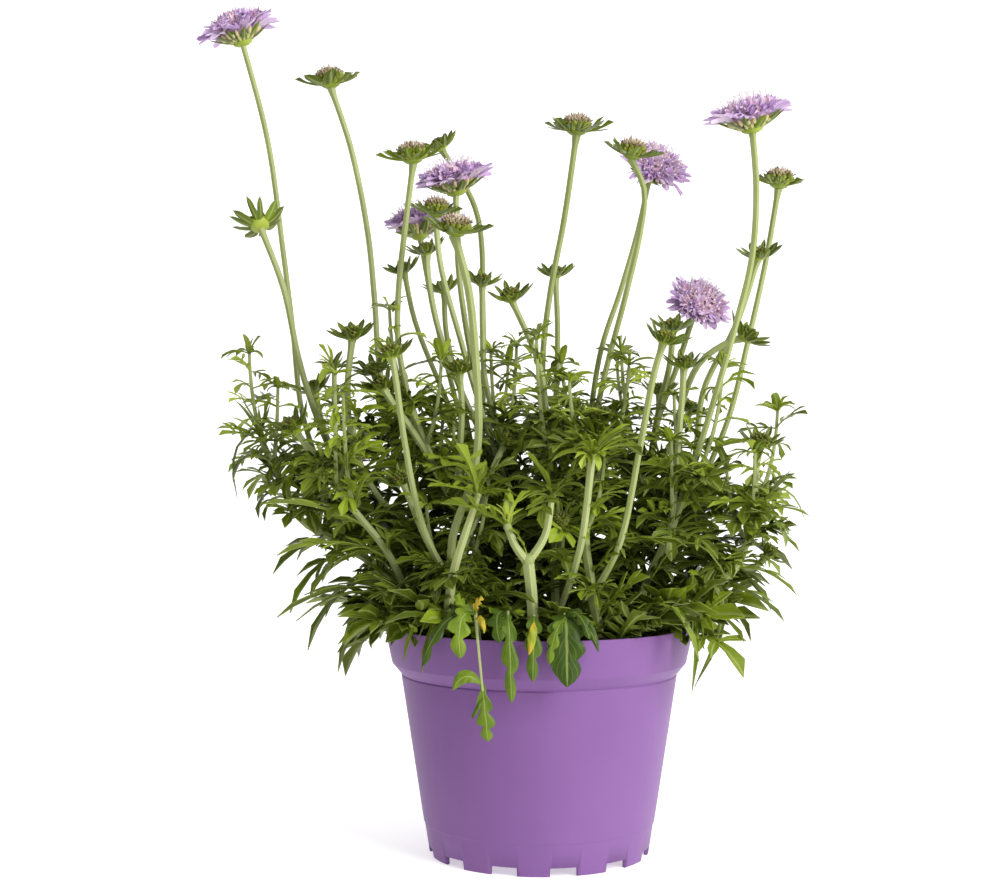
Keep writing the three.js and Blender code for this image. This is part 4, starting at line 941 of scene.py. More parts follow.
def grow_stem(number, name, stem, bm):
    """One whole leafy stem in mm: its stem, stalks, heads' green parts and leaves."""
    x, y = stem["root"]
    foot = (x, y, SOIL_HEIGHT - ROOT_DEPTH)
    rough, _ = smooth_curve([(x, y, soil_level(hypot(x, y)) + COLLAR_HEIGHT), *stem["run"]])
    parts = len(stem["run"])
    run, long = smooth_curve([rough(i / parts) for i in range(parts + 1)])
    draw = seeded_draws(STEM_SEEDS + number)

    steps = max(6, round(long / STEP_LENGTH))
    points = [np.array(foot, float)] + [run(i / steps) for i in range(steps + 1)]

    def stem_radius(share):
        nodes = sum(exp(-((share - stalk[0]) * long / 4 + 0.6) ** 2) for stalk in stem["stalks"])
        return stem["radius"] * (1 - STEM_TAPER * share) * (1 + 0.4 * min(nodes, 1.2))

    radii = [stem["radius"]] + [stem_radius(i / steps) for i in range(steps + 1)]
    add_tube(bm, points, radii, STEM, 0.25 + 0.3 * draw())

    forks = []
    for fork, knots, *ending in stem["stalks"]:
        is_star = len(ending) == 3
        head = dict(zip(("at", "faces", "size"), ending)) if is_star else HEADS[ending[0]]
        facing = np.array(Vector(head["faces"]).normalized())
        low = np.array(head["at"]) - facing * (STAR_SINK if is_star else HEAD_SINK)
        way, reach = smooth_curve([run(fork), *knots, low])
        count = max(5, round(reach / STEP_LENGTH))
        thin = head.get("stalk", STALK_RADIUS) * draw(0.94, 1.06)
        stalk_radii = [thin * (1.25 * exp(-i / count * reach / 7) * 0.3 + 1)
                       * (1 + 0.5 * exp(-(1 - i / count) * reach / 2.2)) for i in range(count + 1)]
        add_tube(bm, [way(i / count) for i in range(count + 1)], stalk_radii, STEM, draw(0.3, 0.9))
        add_green = add_star_bud if is_star else add_disc_cup if ending[0] in DISC_HEADS else add_bloom_cup
        add_green(bm, head, draw)
        forks.append(run(fork))

    for at, tip, arch, lobes, width in stem.get("open_leaves", ()):
        base, tip = run(at), np.array(tip, float)
        middle = (base + tip) / 2 + np.array((0, 0, arch))
        add_leaf(bm, base, middle, tip, lobes, width, pick=lobes, age=draw(0.1, 0.35))

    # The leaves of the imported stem, found again by their seeds: the right draw's tip lies on the node
    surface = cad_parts[name].data.vertices
    tree = KDTree(len(surface))
    for vert in surface:
        tree.insert(vert.co / MM, vert.index)
    tree.balance()
    for i in range(stem["leaves"]):
        for attempt in range(MAX_DRAWS):
            leaf_draw = seeded_draws((number + 1) * NODE_SEEDS + i * LEAF_SEEDS + attempt)
            low, high = stem["span"]
            base = run(low + (high - low) * leaf_draw())
            leaf = drawn_leaf(base, stem["length"], leaf_draw)
            if tree.find(leaf["tip"])[2] < FOUND_WITHIN:
                add_leaf(bm, pick=i, age=draw(0.05, 0.3), **leaf)
                break

    def extra_leaf(_):
        leaf = drawn_leaf(run(draw() ** 0.7), EXTRA_LENGTH, draw, droop=draw(0, 1.3))
        if draw() < 0.6:
            leaf.update(lobes=SPREAD_CUT, width=leaf["width"] * draw(1.1, 1.6))
        return leaf

    def root_leaf(_):
        heading = atan2(y, x) + draw(-1.3, 1.3)
        base = np.array((x + 4 * cos(heading), y + 4 * sin(heading), SOIL_HEIGHT - 1))
        leaf = drawn_leaf(base, ROOT_LENGTH, draw, heading, droop=draw(0, 0.8))
        leaf.update(lobes=SPREAD_CUT, width=leaf["width"] * draw(1.1, 1.5))
        return leaf

    def inner_leaf(_):
        base = run(draw(0.08, 0.7))
        heading = atan2(-base[1], -base[0]) + draw(-1.0, 1.0)
        leaf = drawn_leaf(base, INNER_LENGTH, draw, heading, droop=draw(0, 1.0))
        leaf.update(lobes=1, width=draw(7, 11))
        return leaf

    # More leaves of the same kind, which make the stem as dense as the real one, leaves that spring
    # from its foot, and dark leaves that fill the middle of the plant and grow towards its axis
    scatter_leaves(bm, draw, EXTRA_LEAVES, LEAF_TRIES, extra_leaf, 0.5, 1.0)
    scatter_leaves(bm, draw, ROOT_LEAVES, LEAF_TRIES, root_leaf, 0.3, 0.7)
    scatter_leaves(bm, draw, INNER_LEAVES, 1, inner_leaf, 0.15, 0.8)

    # Short leafy side shoots that rise from the upper stem between the flower stalks
    for i in range(SIDE_SHOOTS):
        base = run(draw(0.55, 1.0))
        heading = draw(0, 2 * pi)
        reach = draw(24, 52)
        out = level_way(heading) * draw(0.1, 0.5)
        end = base + (out + RISE) * reach
        bow = base + (out * 0.9 + RISE * 0.35) * reach
        if not in_the_open(base, bow, end):
            continue
        count = max(4, round(reach / 6))
        shares = np.linspace(0, 1, count + 1)
        way = [on_arch(base, bow, end, t) for t in shares]
        add_tube(bm, way, [1.1 - 0.4 * t for t in shares], STEM, draw(0.3, 0.8), sides=8)
        for k, place in enumerate(way[1:-1]):
            for side in (0, pi):
                turn = k * 1.6 + heading + side + draw(-0.3, 0.3)
                add_tuft_leaf(bm, place, turn, draw(11, 22), draw(0.1, 0.9), draw, k % 2 + 1)
        for k in range(SHOOT_TUFT):
            turn = heading + k * 0.9 + draw(-0.3, 0.3)
            add_tuft_leaf(bm, end, turn, draw(7, 15), draw(0.3, 1.3), draw, k % 2)

    # A tuft of young leaves in each fork, with a pair of longer leaves that stand opposite
    for base in forks + [run(0.99)]:
        heading = draw(0, 2 * pi)
        for i in range(TUFT_LEAVES):
            turn = heading + i / TUFT_LEAVES * 2 * pi + draw(-0.4, 0.4)
            if i % 4 == 0:
                add_tuft_leaf(bm, base, turn, draw(20, 34), draw(0.1, 0.8), draw, SPREAD_CUT)
            else:
                add_tuft_leaf(bm, base, turn, draw(8, 19), draw(0.4, 1.3), draw, int(draw(0, 2.99)))


# Green tissue: ridged pale stems, dark leaves with a paler midrib, and tight bead-like buds.
# All are finely hairy, which softens their gloss to a faint sheen.
def green_material(name, stops, roughness, age_weight, noise_scale):
    """A leaf or stem green, whose colour goes with age and a noise, and the nodes that others build on."""
    material, tree, shader = new_material(name, roughness, ior=1.42, Specular_IOR_Level=0.35)
    place = add_node(tree, "ShaderNodeTexCoord")
    age = add_node(tree, "ShaderNodeAttribute", attribute_name="age").outputs["Fac"]
    mottle = add_node(tree, "ShaderNodeTexNoise",
                      {"Vector": place.outputs["Object"], "Scale": noise_scale, "Detail": 3})
    weighed = add_node(tree, "ShaderNodeMath", {0: age, 1: age_weight}, operation="MULTIPLY")
    shade = add_node(tree, "ShaderNodeMath", {0: mottle.outputs["Fac"], 1: 0.5, 2: weighed.outputs[0]},
                     operation="MULTIPLY_ADD")
    green = add_node(tree, "ShaderNodeValToRGB", {"Fac": shade.outputs[0]}, stops=stops)
    uv = add_node(tree, "ShaderNodeSeparateXYZ", {"Vector": place.outputs["UV"]})
    return material, tree, shader, green, uv, mottle


leaf_green, tree, shader, green, uv, mottle = green_material(
    "hairy_cut_leaf", [(0.18, "#3B480A"), (0.4, "#5E7013"), (0.62, "#83971C"), (1.0, "#AFBC42")],
    roughness=0.42, age_weight=0.85, noise_scale=90)
# The midrib: a pale line at the middle of each strap's width, sunk a little
offset = add_node(tree, "ShaderNodeMath", {0: uv.outputs["X"], 1: 0.5}, operation="SUBTRACT")
away = add_node(tree, "ShaderNodeMath", {0: offset.outputs[0]}, operation="ABSOLUTE")
rib = add_node(tree, "ShaderNodeValToRGB", {"Fac": away.outputs[0]},
               stops=[(0.04, 0.55), (0.14, 0.0), (0.44, 0.0), (0.5, 0.22)])
mixed = add_node(tree, "ShaderNodeMix",
                 {0: rib.outputs["Color"], 6: green.outputs["Color"], 7: linear("#A3AE62")}, data_type="RGBA")
tree.links.new(mixed.outputs[2], shader.inputs["Base Color"])
bump = add_node(tree, "ShaderNodeBump",
                {"Height": mottle.outputs["Fac"], "Strength": 0.3, "Distance": 0.0006})
tree.links.new(bump.outputs["Normal"], shader.inputs["Normal"])

stem_green, tree, shader, green, uv, mottle = green_material(
    "ridged_stem", [(0.2, "#889252"), (0.5, "#9EA66C"), (0.9, "#B5BC87")],
    roughness=0.48, age_weight=0.4, noise_scale=60)
# Ridges: painted shade, darker stripes that run down the stem where the furrows between the paler ribs lie in
# shade
ribs = add_node(tree, "ShaderNodeMath", {0: uv.outputs["X"], 1: pi * STEM_SIDES}, operation="MULTIPLY")
wave = add_node(tree, "ShaderNodeMath", {0: ribs.outputs[0]}, operation="SINE")
furrow_shade_mask = add_node(tree, "ShaderNodeMath", {0: wave.outputs[0], 1: wave.outputs[0]}, operation="MULTIPLY")
painted_furrow_shade = add_node(tree, "ShaderNodeValToRGB", {"Fac": furrow_shade_mask.outputs[0]}, stops=[(0.0, 0.4), (0.5, 0.0)])
mixed = add_node(tree, "ShaderNodeMix",
                 {0: painted_furrow_shade.outputs["Color"], 6: green.outputs["Color"], 7: linear("#76893A")},
                 data_type="RGBA")
tree.links.new(mixed.outputs[2], shader.inputs["Base Color"])

bead_green, tree, shader, green, uv, mottle = green_material(
    "bead_bud", [(0.2, "#3F4E16"), (0.5, "#66702C"), (0.62, "#736B36"), (0.8, "#87922F"), (1.0, "#A0A642")],
    roughness=0.5, age_weight=0.7, noise_scale=700)
tree.links.new(green.outputs["Color"], shader.inputs["Base Color"])

for number, stem in enumerate(LEAFY_STEMS):
    name = f"leafy_stem_{number + 1:02d}"
    bm = new_shape()
    grow_stem(number, name, stem, bm)
    piece = finish_mesh(bm, f"{name}_plant", [stem_green, leaf_green, bead_green])
    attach(piece, "root")
    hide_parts(name)


# Basal leaves: leaves on slim stalks that rise from the soil and hang over the rim, the ones at the
# front young and fresh yellow-green, with blunt teeth and pale veins.
PETIOLE_RADIUS = 0.8
BASAL_SEEDS = 600
BLADE_HALF = 6
FRONT = (0, -1, 0.25)
BASAL_LEAVES = {
    "basal_leaf_1": dict(root=(-24, -47), over=(-29, -66, 134), tip=(-21, -70, 58), lobes=3, width=9),
    "basal_leaf_2": dict(root=(-13, -49), over=(-14, -66, 130), tip=(-12, -72, 73), lobes=2, width=6),
    "basal_leaf_3": dict(root=(-3, -49), over=(-3, -66, 124), tip=(-4, -72, 81), lobes=2, width=5),
    "basal_leaf_4": dict(root=(8, -48), over=(9, -66, 126), tip=(9, -72, 79), lobes=3, width=8),
    "basal_leaf_5": dict(root=(48, -26), over=(67, -36, 134), tip=(60, -46, 72), lobes=2, width=3.6),
    "basal_leaf_6": dict(root=(36, -38), over=(48, -56, 128), tip=(62, -54, 86), lobes=3, width=7),
    "basal_leaf_7": dict(root=(-36, 36), over=(-58, 60, 128), tip=(-84, 66, 94), lobes=3, width=9),
    "basal_leaf_8": dict(root=(28, 42), over=(44, 68, 128), tip=(56, 84, 90), lobes=3, width=9),
}
# The young leaves' blades: where along its rib each starts, its half-width, cut and age, and the
# leaflets that stand off the rib, each with its base's share, middle, tip, half-width, cut and age
YOUNG_LEAVES = {
    "basal_leaf_1": dict(start=0.86, half=3.6, cut="lobed", age=0.75, leaflets=[
        (0.84, (-30, -71.5, 87), (-34.5, -70, 77.5), 2.6, "plain", 0.8),
        (0.88, (-24.5, -71, 70), (-27, -70.5, 66.5), 0.9, "plain", 0.5),
        (0.45, (-34, -66, 110), (-31.5, -69.5, 89.5), 4.6, "lobed", 0.95),
        (0.40, (-32, -60, 108), (-32.5, -66, 113.5), 2.2, "lobed", 1.0),
        (0.45, (-26.5, -66, 110), (-23.5, -67.5, 113), 1.5, "lobed", 1.6),
        (0.50, (-24, -69, 107), (-22.5, -69.5, 99), 1.3, "plain", 1.65),
        (0.40, (-39, -63, 109), (-46.5, -67, 86), 3.0, "lobed", 0.15),
    ]),
    "basal_leaf_2": dict(start=0.5, half=3.4, cut="lobed", age=0.6, leaflets=[
        (0.42, (-20, -64, 109), (-16.5, -69, 95.5), 4.2, "lobed", 0.25),
    ]),
    "basal_leaf_3": dict(start=0.45, half=3.6, cut="lobed", age=0.5, leaflets=[
        (0.60, (-3.5, -70, 99.5), (-5.5, -71, 91), 1.7, "plain", 1.5),
    ]),
    "basal_leaf_4": dict(start=0.4, half=7.6, cut="broad", age=0.0, leaflets=[
        (0.55, (4, -70, 102), (2.2, -71, 87.5), 2.6, "lobed", 0.75),
        (0.50, (17, -69, 107), (21, -70.5, 92), 2.0, "plain", 0.1),
        (0.45, (14.5, -68, 110), (17.5, -71, 97), 2.4, "lobed", 0.25),
    ]),
}


def toothed_blade(name, teeth, depth, blunt):
    """A young blade or leaflet: rounded at its end, with blunt teeth that point forwards."""
    bm = new_shape()
    made = bmesh.ops.create_grid(bm, x_segments=8, y_segments=28, size=0.5, calc_uvs=True)
    for vert in made["verts"]:
        across, along = vert.co.x * 2, vert.co.y + 0.5
        tooth = 1 - depth * (1 - abs(cos(pi * (teeth * along + (0.2 if across > 0 else 0)))) ** 0.7)
        body = 0.06 + 0.94 * max(0, sin(pi * along ** 1.1)) ** blunt * tooth
        ahead = 5.5 * depth * abs(across) ** 1.5 * body * (1 - along ** 3)
        ripple = 0.5 * sin(across * 3.5 + along * 16) * body * abs(across)
        curl = -2.2 * across ** 2 * along * body
        vert.co = (across * BLADE_HALF * body, along * LEAF_LENGTH + ahead, ripple + curl)
    return template(bm, name)


BLADES = {
    "plain": toothed_blade("plain_leaflet", 1, 0.0, 0.75),
    "lobed": toothed_blade("lobed_leaflet", 3.2, 0.8, 0.5),
    "broad": toothed_blade("broad_leaf", 4.5, 0.5, 0.4),
}

young_green, tree, shader, green, uv, mottle = green_material(
    "young_leaf",
    [(0.22, "#2F4409"), (0.5, "#4C6511"), (0.72, "#6B8218"), (0.9, "#8F9A20"), (1.0, "#B89C26")],
    roughness=0.42, age_weight=0.45, noise_scale=160)
# Young tissue: pale veins branch from the midrib towards the teeth
offset = add_node(tree, "ShaderNodeMath", {0: uv.outputs["X"], 1: 0.5}, operation="SUBTRACT")
away = add_node(tree, "ShaderNodeMath", {0: offset.outputs[0]}, operation="ABSOLUTE")
slant = add_node(tree, "ShaderNodeMath", {0: away.outputs[0], 1: -0.55, 2: uv.outputs["Y"]},
                 operation="MULTIPLY_ADD")
rows = add_node(tree, "ShaderNodeMath", {0: slant.outputs[0], 1: 58}, operation="MULTIPLY")
wave = add_node(tree, "ShaderNodeMath", {0: rows.outputs[0]}, operation="SINE")
vein = add_node(tree, "ShaderNodeValToRGB", {"Fac": wave.outputs[0]}, stops=[(0.8, 0.0), (1.0, 0.14)])
rib = add_node(tree, "ShaderNodeValToRGB", {"Fac": away.outputs[0]}, stops=[(0.02, 0.45), (0.06, 0.0)])
lines = add_node(tree, "ShaderNodeMath", {0: vein.outputs["Color"], 1: rib.outputs["Color"]},
                 operation="MAXIMUM")
mixed = add_node(tree, "ShaderNodeMix",
                 {0: lines.outputs[0], 6: green.outputs["Color"], 7: linear("#A3B35C")}, data_type="RGBA")
tree.links.new(mixed.outputs[2], shader.inputs["Base Color"])
bump = add_node(tree, "ShaderNodeBump", {"Height": lines.outputs[0], "Strength": 0.5, "Distance": 0.0005})
tree.links.new(bump.outputs["Normal"], shader.inputs["Normal"])


def add_blade(bm, base, middle, tip, half, cut, age, **bent):
    """A young blade or leaflet on an arched rib."""
    mesh, coordinates = BLADES[cut]
    add_copy(bm, mesh, bend(coordinates, base, middle, tip, half / BLADE_HALF, **bent), LEAF, age)


for i, (name, leaf) in enumerate(BASAL_LEAVES.items()):
    x, y = leaf["root"]
    draw = seeded_draws(BASAL_SEEDS + i)
    ground = np.array((x, y, soil_level(hypot(x, y)) + COLLAR_HEIGHT))
    over, tip = np.array(leaf["over"], float), np.array(leaf["tip"], float)
    young = YOUNG_LEAVES.get(name)

    def rib(t):
        return on_arch(ground, over, tip, t)

    bm = new_shape()
    start = young["start"] if young else 0.45
    along = [np.array((x, y, SOIL_HEIGHT - ROOT_DEPTH))] + [rib(t) for t in np.linspace(0, start, 16)]
    radii = [PETIOLE_RADIUS] * 2 + list(np.linspace(PETIOLE_RADIUS, 0.5, 15))
    add_tube(bm, along, radii, STEM, 0.9, sides=8)
    if young:
        base = rib(start - 0.03)
        turned = rib(start) + (rib(start + 0.02) - rib(start)) / 0.02 * (1 - start) / 2
        add_blade(bm, base, turned, tip, young["half"], young["cut"], young["age"], up=FRONT, fold=0.15)
        for share, middle, end, half, cut, age in young["leaflets"]:
            add_blade(bm, rib(share), middle, end, half, cut, age, up=FRONT, fold=0.25,
                      roll=draw(-0.35, 0.35), twist=draw(-0.5, 0.5))
    else:
        add_leaf(bm, ground, over, tip, leaf["lobes"], leaf["width"], pick=i, age=0.2)
    piece = finish_mesh(bm, f"{name}_blade", [stem_green, young_green if young else leaf_green])
    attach(piece, "root")
    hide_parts(name)


# Rim leaves: the lowest cut leaves, which spring from the crown of the plant all round and arch
# out over the rim of the pot.
RIM_LEAVES = 120
RIM_TRIES = 20
RIM_LENGTH = (32, 62)
RIM_SEED = 77
bm = new_shape()
draw = seeded_draws(RIM_SEED)


def rim_leaf(i):
    """A drawn leaf for the rim, every third one on a heading near the plant's left or right."""
    heading = (i + draw(-0.4, 0.4)) / RIM_LEAVES * 2 * pi
    if i % 3 == 0:
        heading = (0 if i % 2 else pi) + draw(-0.8, 0.8)
    far = draw(34, 57)
    base = np.array((far * cos(heading), far * sin(heading), SOIL_HEIGHT - 1))
    leaf = drawn_leaf(base, RIM_LENGTH, draw, heading + draw(-0.6, 0.6), droop=draw(0, 1.6))
    leaf.update(lobes=SPREAD_CUT, width=leaf["width"] * draw(1.0, 1.4))
    return leaf


scatter_leaves(bm, draw, RIM_LEAVES, RIM_TRIES, rim_leaf, 0.4, 0.7)
# Leaves that hang at the two sides: base, bow, tip, half-width and cut
SIDE_LEAVES = [
    ((-58, -8, 122), (-88, -10, 139), (-104, -12, 101), 10, 3),
    ((-54, -14, 112), (-82, -18, 126), (-97, -20, 87), 10, 3),
    ((-50, -22, 104), (-72, -26, 116), (-83, -28, 79), 9, 3),
    ((-62, 2, 130), (-94, 0, 140), (-112, -4, 117), 10, 3),
    ((-60, -30, 128), (-84, -34, 130), (-94, -36, 110), 9, 3),
    ((54, -6, 118), (82, -8, 129), (98, -10, 103), 10, SPREAD_CUT),
    ((58, 2, 128), (90, 0, 137), (107, -2, 119), 10, SPREAD_CUT),
    ((54, -14, 110), (77, -18, 117), (88, -20, 91), 9, 3),
    ((62, -28, 116), (86, -30, 116), (62, -31, 73), 1.7, 0),
    ((-104, -18, 176), (-131, -20, 181), (-124, -20, 149), 1.7, 0),
    ((-100, -22, 172), (-114, -22, 170), (-123, -22, 192), 1.7, 0),
    ((86, -10, 148), (104, -10, 160), (110, -10, 140), 1.8, 0),
    ((44, -44, 118), (58, -56, 148), (74, -50, 115), 1.3, 0),
]
for k, (base, bow, end, half, lobes) in enumerate(SIDE_LEAVES):
    add_leaf(bm, base, bow, end, lobes, half, pick=k, age=draw(0.0, 0.3), twist=draw(-0.4, 0.4))
rim = finish_mesh(bm, "rim_leaves", [stem_green, leaf_green])
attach(rim, "root")


# Front shoots: short thick pale stems at the front of the plant, with swollen ends and a tuft of
# fresh leaves at each. A shoot is its knots, its two radii, its number of leaves and their lengths.
FRONT_SHOOTS = [
    dict(way=[(-3, -48, 92), (-4, -54, 112), (-5.5, -56, 126)], thick=(2.3, 2.4), leaves=4, reach=(26, 40)),
    dict(way=[(-5.5, -56, 125), (-10, -58, 131), (-13.5, -57, 139)], thick=(1.7, 1.5), leaves=6,
         reach=(16, 32)),
    dict(way=[(-5.5, -56, 125), (1, -54, 135), (4, -50, 150)], thick=(1.8, 1.3), leaves=8, reach=(14, 30)),
    dict(way=[(-37, -50, 100), (-35, -55, 119), (-25, -54, 151)], thick=(2.2, 1.3), leaves=8, reach=(14, 30)),
    dict(way=[(3, -30, 92), (15, -49, 130), (19.5, -52, 166)], thick=(1.3, 1.6), leaves=20, reach=(12, 24)),
]
SHOOT_SEED = 88
SHOOT_POINTS = 10
bm = new_shape()
draw = seeded_draws(SHOOT_SEED)
for shoot in FRONT_SHOOTS:
    line, _ = smooth_curve(shoot["way"])
    way = [line(t) for t in np.linspace(0, 1, SHOOT_POINTS)]
    add_tube(bm, way, list(np.linspace(*shoot["thick"], SHOOT_POINTS)), STEM, 0.8)
    swollen = Matrix.Translation(way[-1]) @ Matrix.Scale(shoot["thick"][1] * 1.15, 4)
    add_ball(bm, swollen, STEM, 0.8, subdivisions=2)
    heading = draw(0, 2 * pi)
    for k in range(shoot["leaves"]):
        reach = draw(*shoot["reach"])
        cut = SPREAD_CUT if reach > 24 else k % 3
        add_tuft_leaf(bm, way[-1], heading + k * pi * 0.62, reach, draw(0.2, 1.4), draw, cut)
shoots = finish_mesh(bm, "front_shoots", [stem_green, leaf_green])
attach(shoots, "root")


# Blooms: layers of frilled lavender petals, each cut deep into three rounded lobes, round a domed
# middle of small pinkish florets with pale pin-like styles, over a ring of cream calyces.
PETAL_THICKNESS = 0.2
PETAL_HALF = 3.3
PETAL, FLORET, STYLE, CALYX = 0, 1, 2, 3
BLOOM_SEEDS = 300
PIN_LENGTH = 5.2
FRILLS_PER_BLOOM = 66
FLORETS_PER_BLOOM = 64
FLORET_SEAT = 4.6
PIN_SEAT = 5.2


def petal_shape(seed, notch, steps=(12, 5)):
    """A petal with three rounded lobes at its end and a frilled edge."""
    draw = seeded_draws(seed)
    bm = new_shape()
    made = bmesh.ops.create_grid(bm, x_segments=steps[0], y_segments=steps[1], size=0.5, calc_uvs=True)
    phase, frill, cup = draw(0, 6), draw(0.4, 1.0), draw(-1.2, 1.6)
    lobe_lift = [draw(-1.6, 1.2) for _ in range(3)]
    for vert in made["verts"]:
        across, along = vert.co.x * 2, vert.co.y + 0.5
        wide = 0.14 + 0.86 * max(0, sin(pi / 2 * min(1, along * 1.1))) ** 1.3
        shape = abs(cos(1.5 * pi * across)) ** 0.55
        short = 1 - notch * (1 - shape) * along ** 2 - 0.1 * across ** 2 * along
        third = 0 if across < -1 / 3 else 2 if across > 1 / 3 else 1
        lift = frill * sin(across * 5 + phase) * along ** 2 + cup * across ** 2 * along
        lift += lobe_lift[third] * shape * max(0, along - 0.5) ** 1.5 * 2
        vert.co = (across * wide * PETAL_HALF, along * LEAF_LENGTH * short, lift)
    return template(bm, f"petal_{seed}", PETAL_THICKNESS)


OUTER_PETALS = [petal_shape(seed, 0.4) for seed in (41, 42, 43, 44, 45)]
UPPER_PETALS = [petal_shape(seed, 0.3, (9, 4)) for seed in (51, 52, 53, 54)]
FRILLS = [petal_shape(seed, 0.35, (6, 3)) for seed in (61, 62, 63)]

floret_bm = new_shape()
ring = bmesh.ops.create_circle(floret_bm, cap_ends=True, cap_tris=True, segments=10, radius=1, calc_uvs=True)
for vert in ring["verts"]:
    far = hypot(vert.co.x, vert.co.y)
    spoke = round(atan2(vert.co.y, vert.co.x) / (2 * pi) * 10) % 2
    vert.co = vert.co * (1 if spoke == 0 else 0.55)
    vert.co.z = 0.8 * far
FLORET_SHAPE, FLORET_PLACES = template(floret_bm, "floret", 0.14)


def add_pin(bm, place, facing, long, radius, material, age, knob=0.0):
    """A thin tapered pin, such as a style or a bristle, with a knob at its end if it has one."""
    stand = towards(place, facing)
    made = bmesh.ops.create_cone(bm, cap_ends=True, segments=4, radius1=radius, radius2=radius * 0.6,
                                 depth=long, matrix=stand @ raised(long / 2))
    paint(bm, made["verts"], material, age)
    if knob:
        add_ball(bm, stand @ raised(long) @ stretched(knob, knob * 0.8), material, age)


petal_skin, tree, shader = new_material("lavender_petal", 0.6, ior=1.4, Sheen_Weight=0.1, Sheen_Roughness=0.5)
# Petal: thin soft tissue, lavender with fine darker veins along it, each petal its own shade
place = add_node(tree, "ShaderNodeTexCoord")
age = add_node(tree, "ShaderNodeAttribute", attribute_name="age").outputs["Fac"]
uv = add_node(tree, "ShaderNodeSeparateXYZ", {"Vector": place.outputs["UV"]})
across = add_node(tree, "ShaderNodeMath", {0: uv.outputs["X"], 1: 24.0}, operation="MULTIPLY")
flow = add_node(tree, "ShaderNodeCombineXYZ", {"X": across.outputs[0], "Y": uv.outputs["Y"], "Z": age})
veins = add_node(tree, "ShaderNodeTexNoise", {"Vector": flow.outputs[0], "Scale": 1.0, "Detail": 2})
weighed = add_node(tree, "ShaderNodeMath", {0: age, 1: 0.5}, operation="MULTIPLY")
tone = add_node(tree, "ShaderNodeMath", {0: veins.outputs["Fac"], 1: 0.5, 2: weighed.outputs[0]},
                operation="MULTIPLY_ADD")
colour = add_node(tree, "ShaderNodeValToRGB", {"Fac": tone.outputs[0]},
                  stops=[(0.15, "#B088C6"), (0.45, "#D0B0DC"), (0.8, "#E8D4EA")])
tree.links.new(colour.outputs["Color"], shader.inputs["Base Color"])

floret_skin, tree, shader = new_material("pink_floret", 0.6, ior=1.4, Sheen_Weight=0.1)
# Floret: the same tissue, pinker and duller towards the middle of the head
age = add_node(tree, "ShaderNodeAttribute", attribute_name="age").outputs["Fac"]
colour = add_node(tree, "ShaderNodeValToRGB", {"Fac": age},
                  stops=[(0.0, "#CBA2CA"), (0.5, "#E0BCD2"), (1.0, "#EED2DA")])
tree.links.new(colour.outputs["Color"], shader.inputs["Base Color"])

style_skin, tree, shader = new_material("pale_style", 0.5, ior=1.4)
shader.inputs["Base Color"].default_value = linear("#F0E6EC")

calyx_skin, tree, shader = new_material("cream_calyx", 0.6, ior=1.4)
shader.inputs["Base Color"].default_value = linear("#C4BA84")

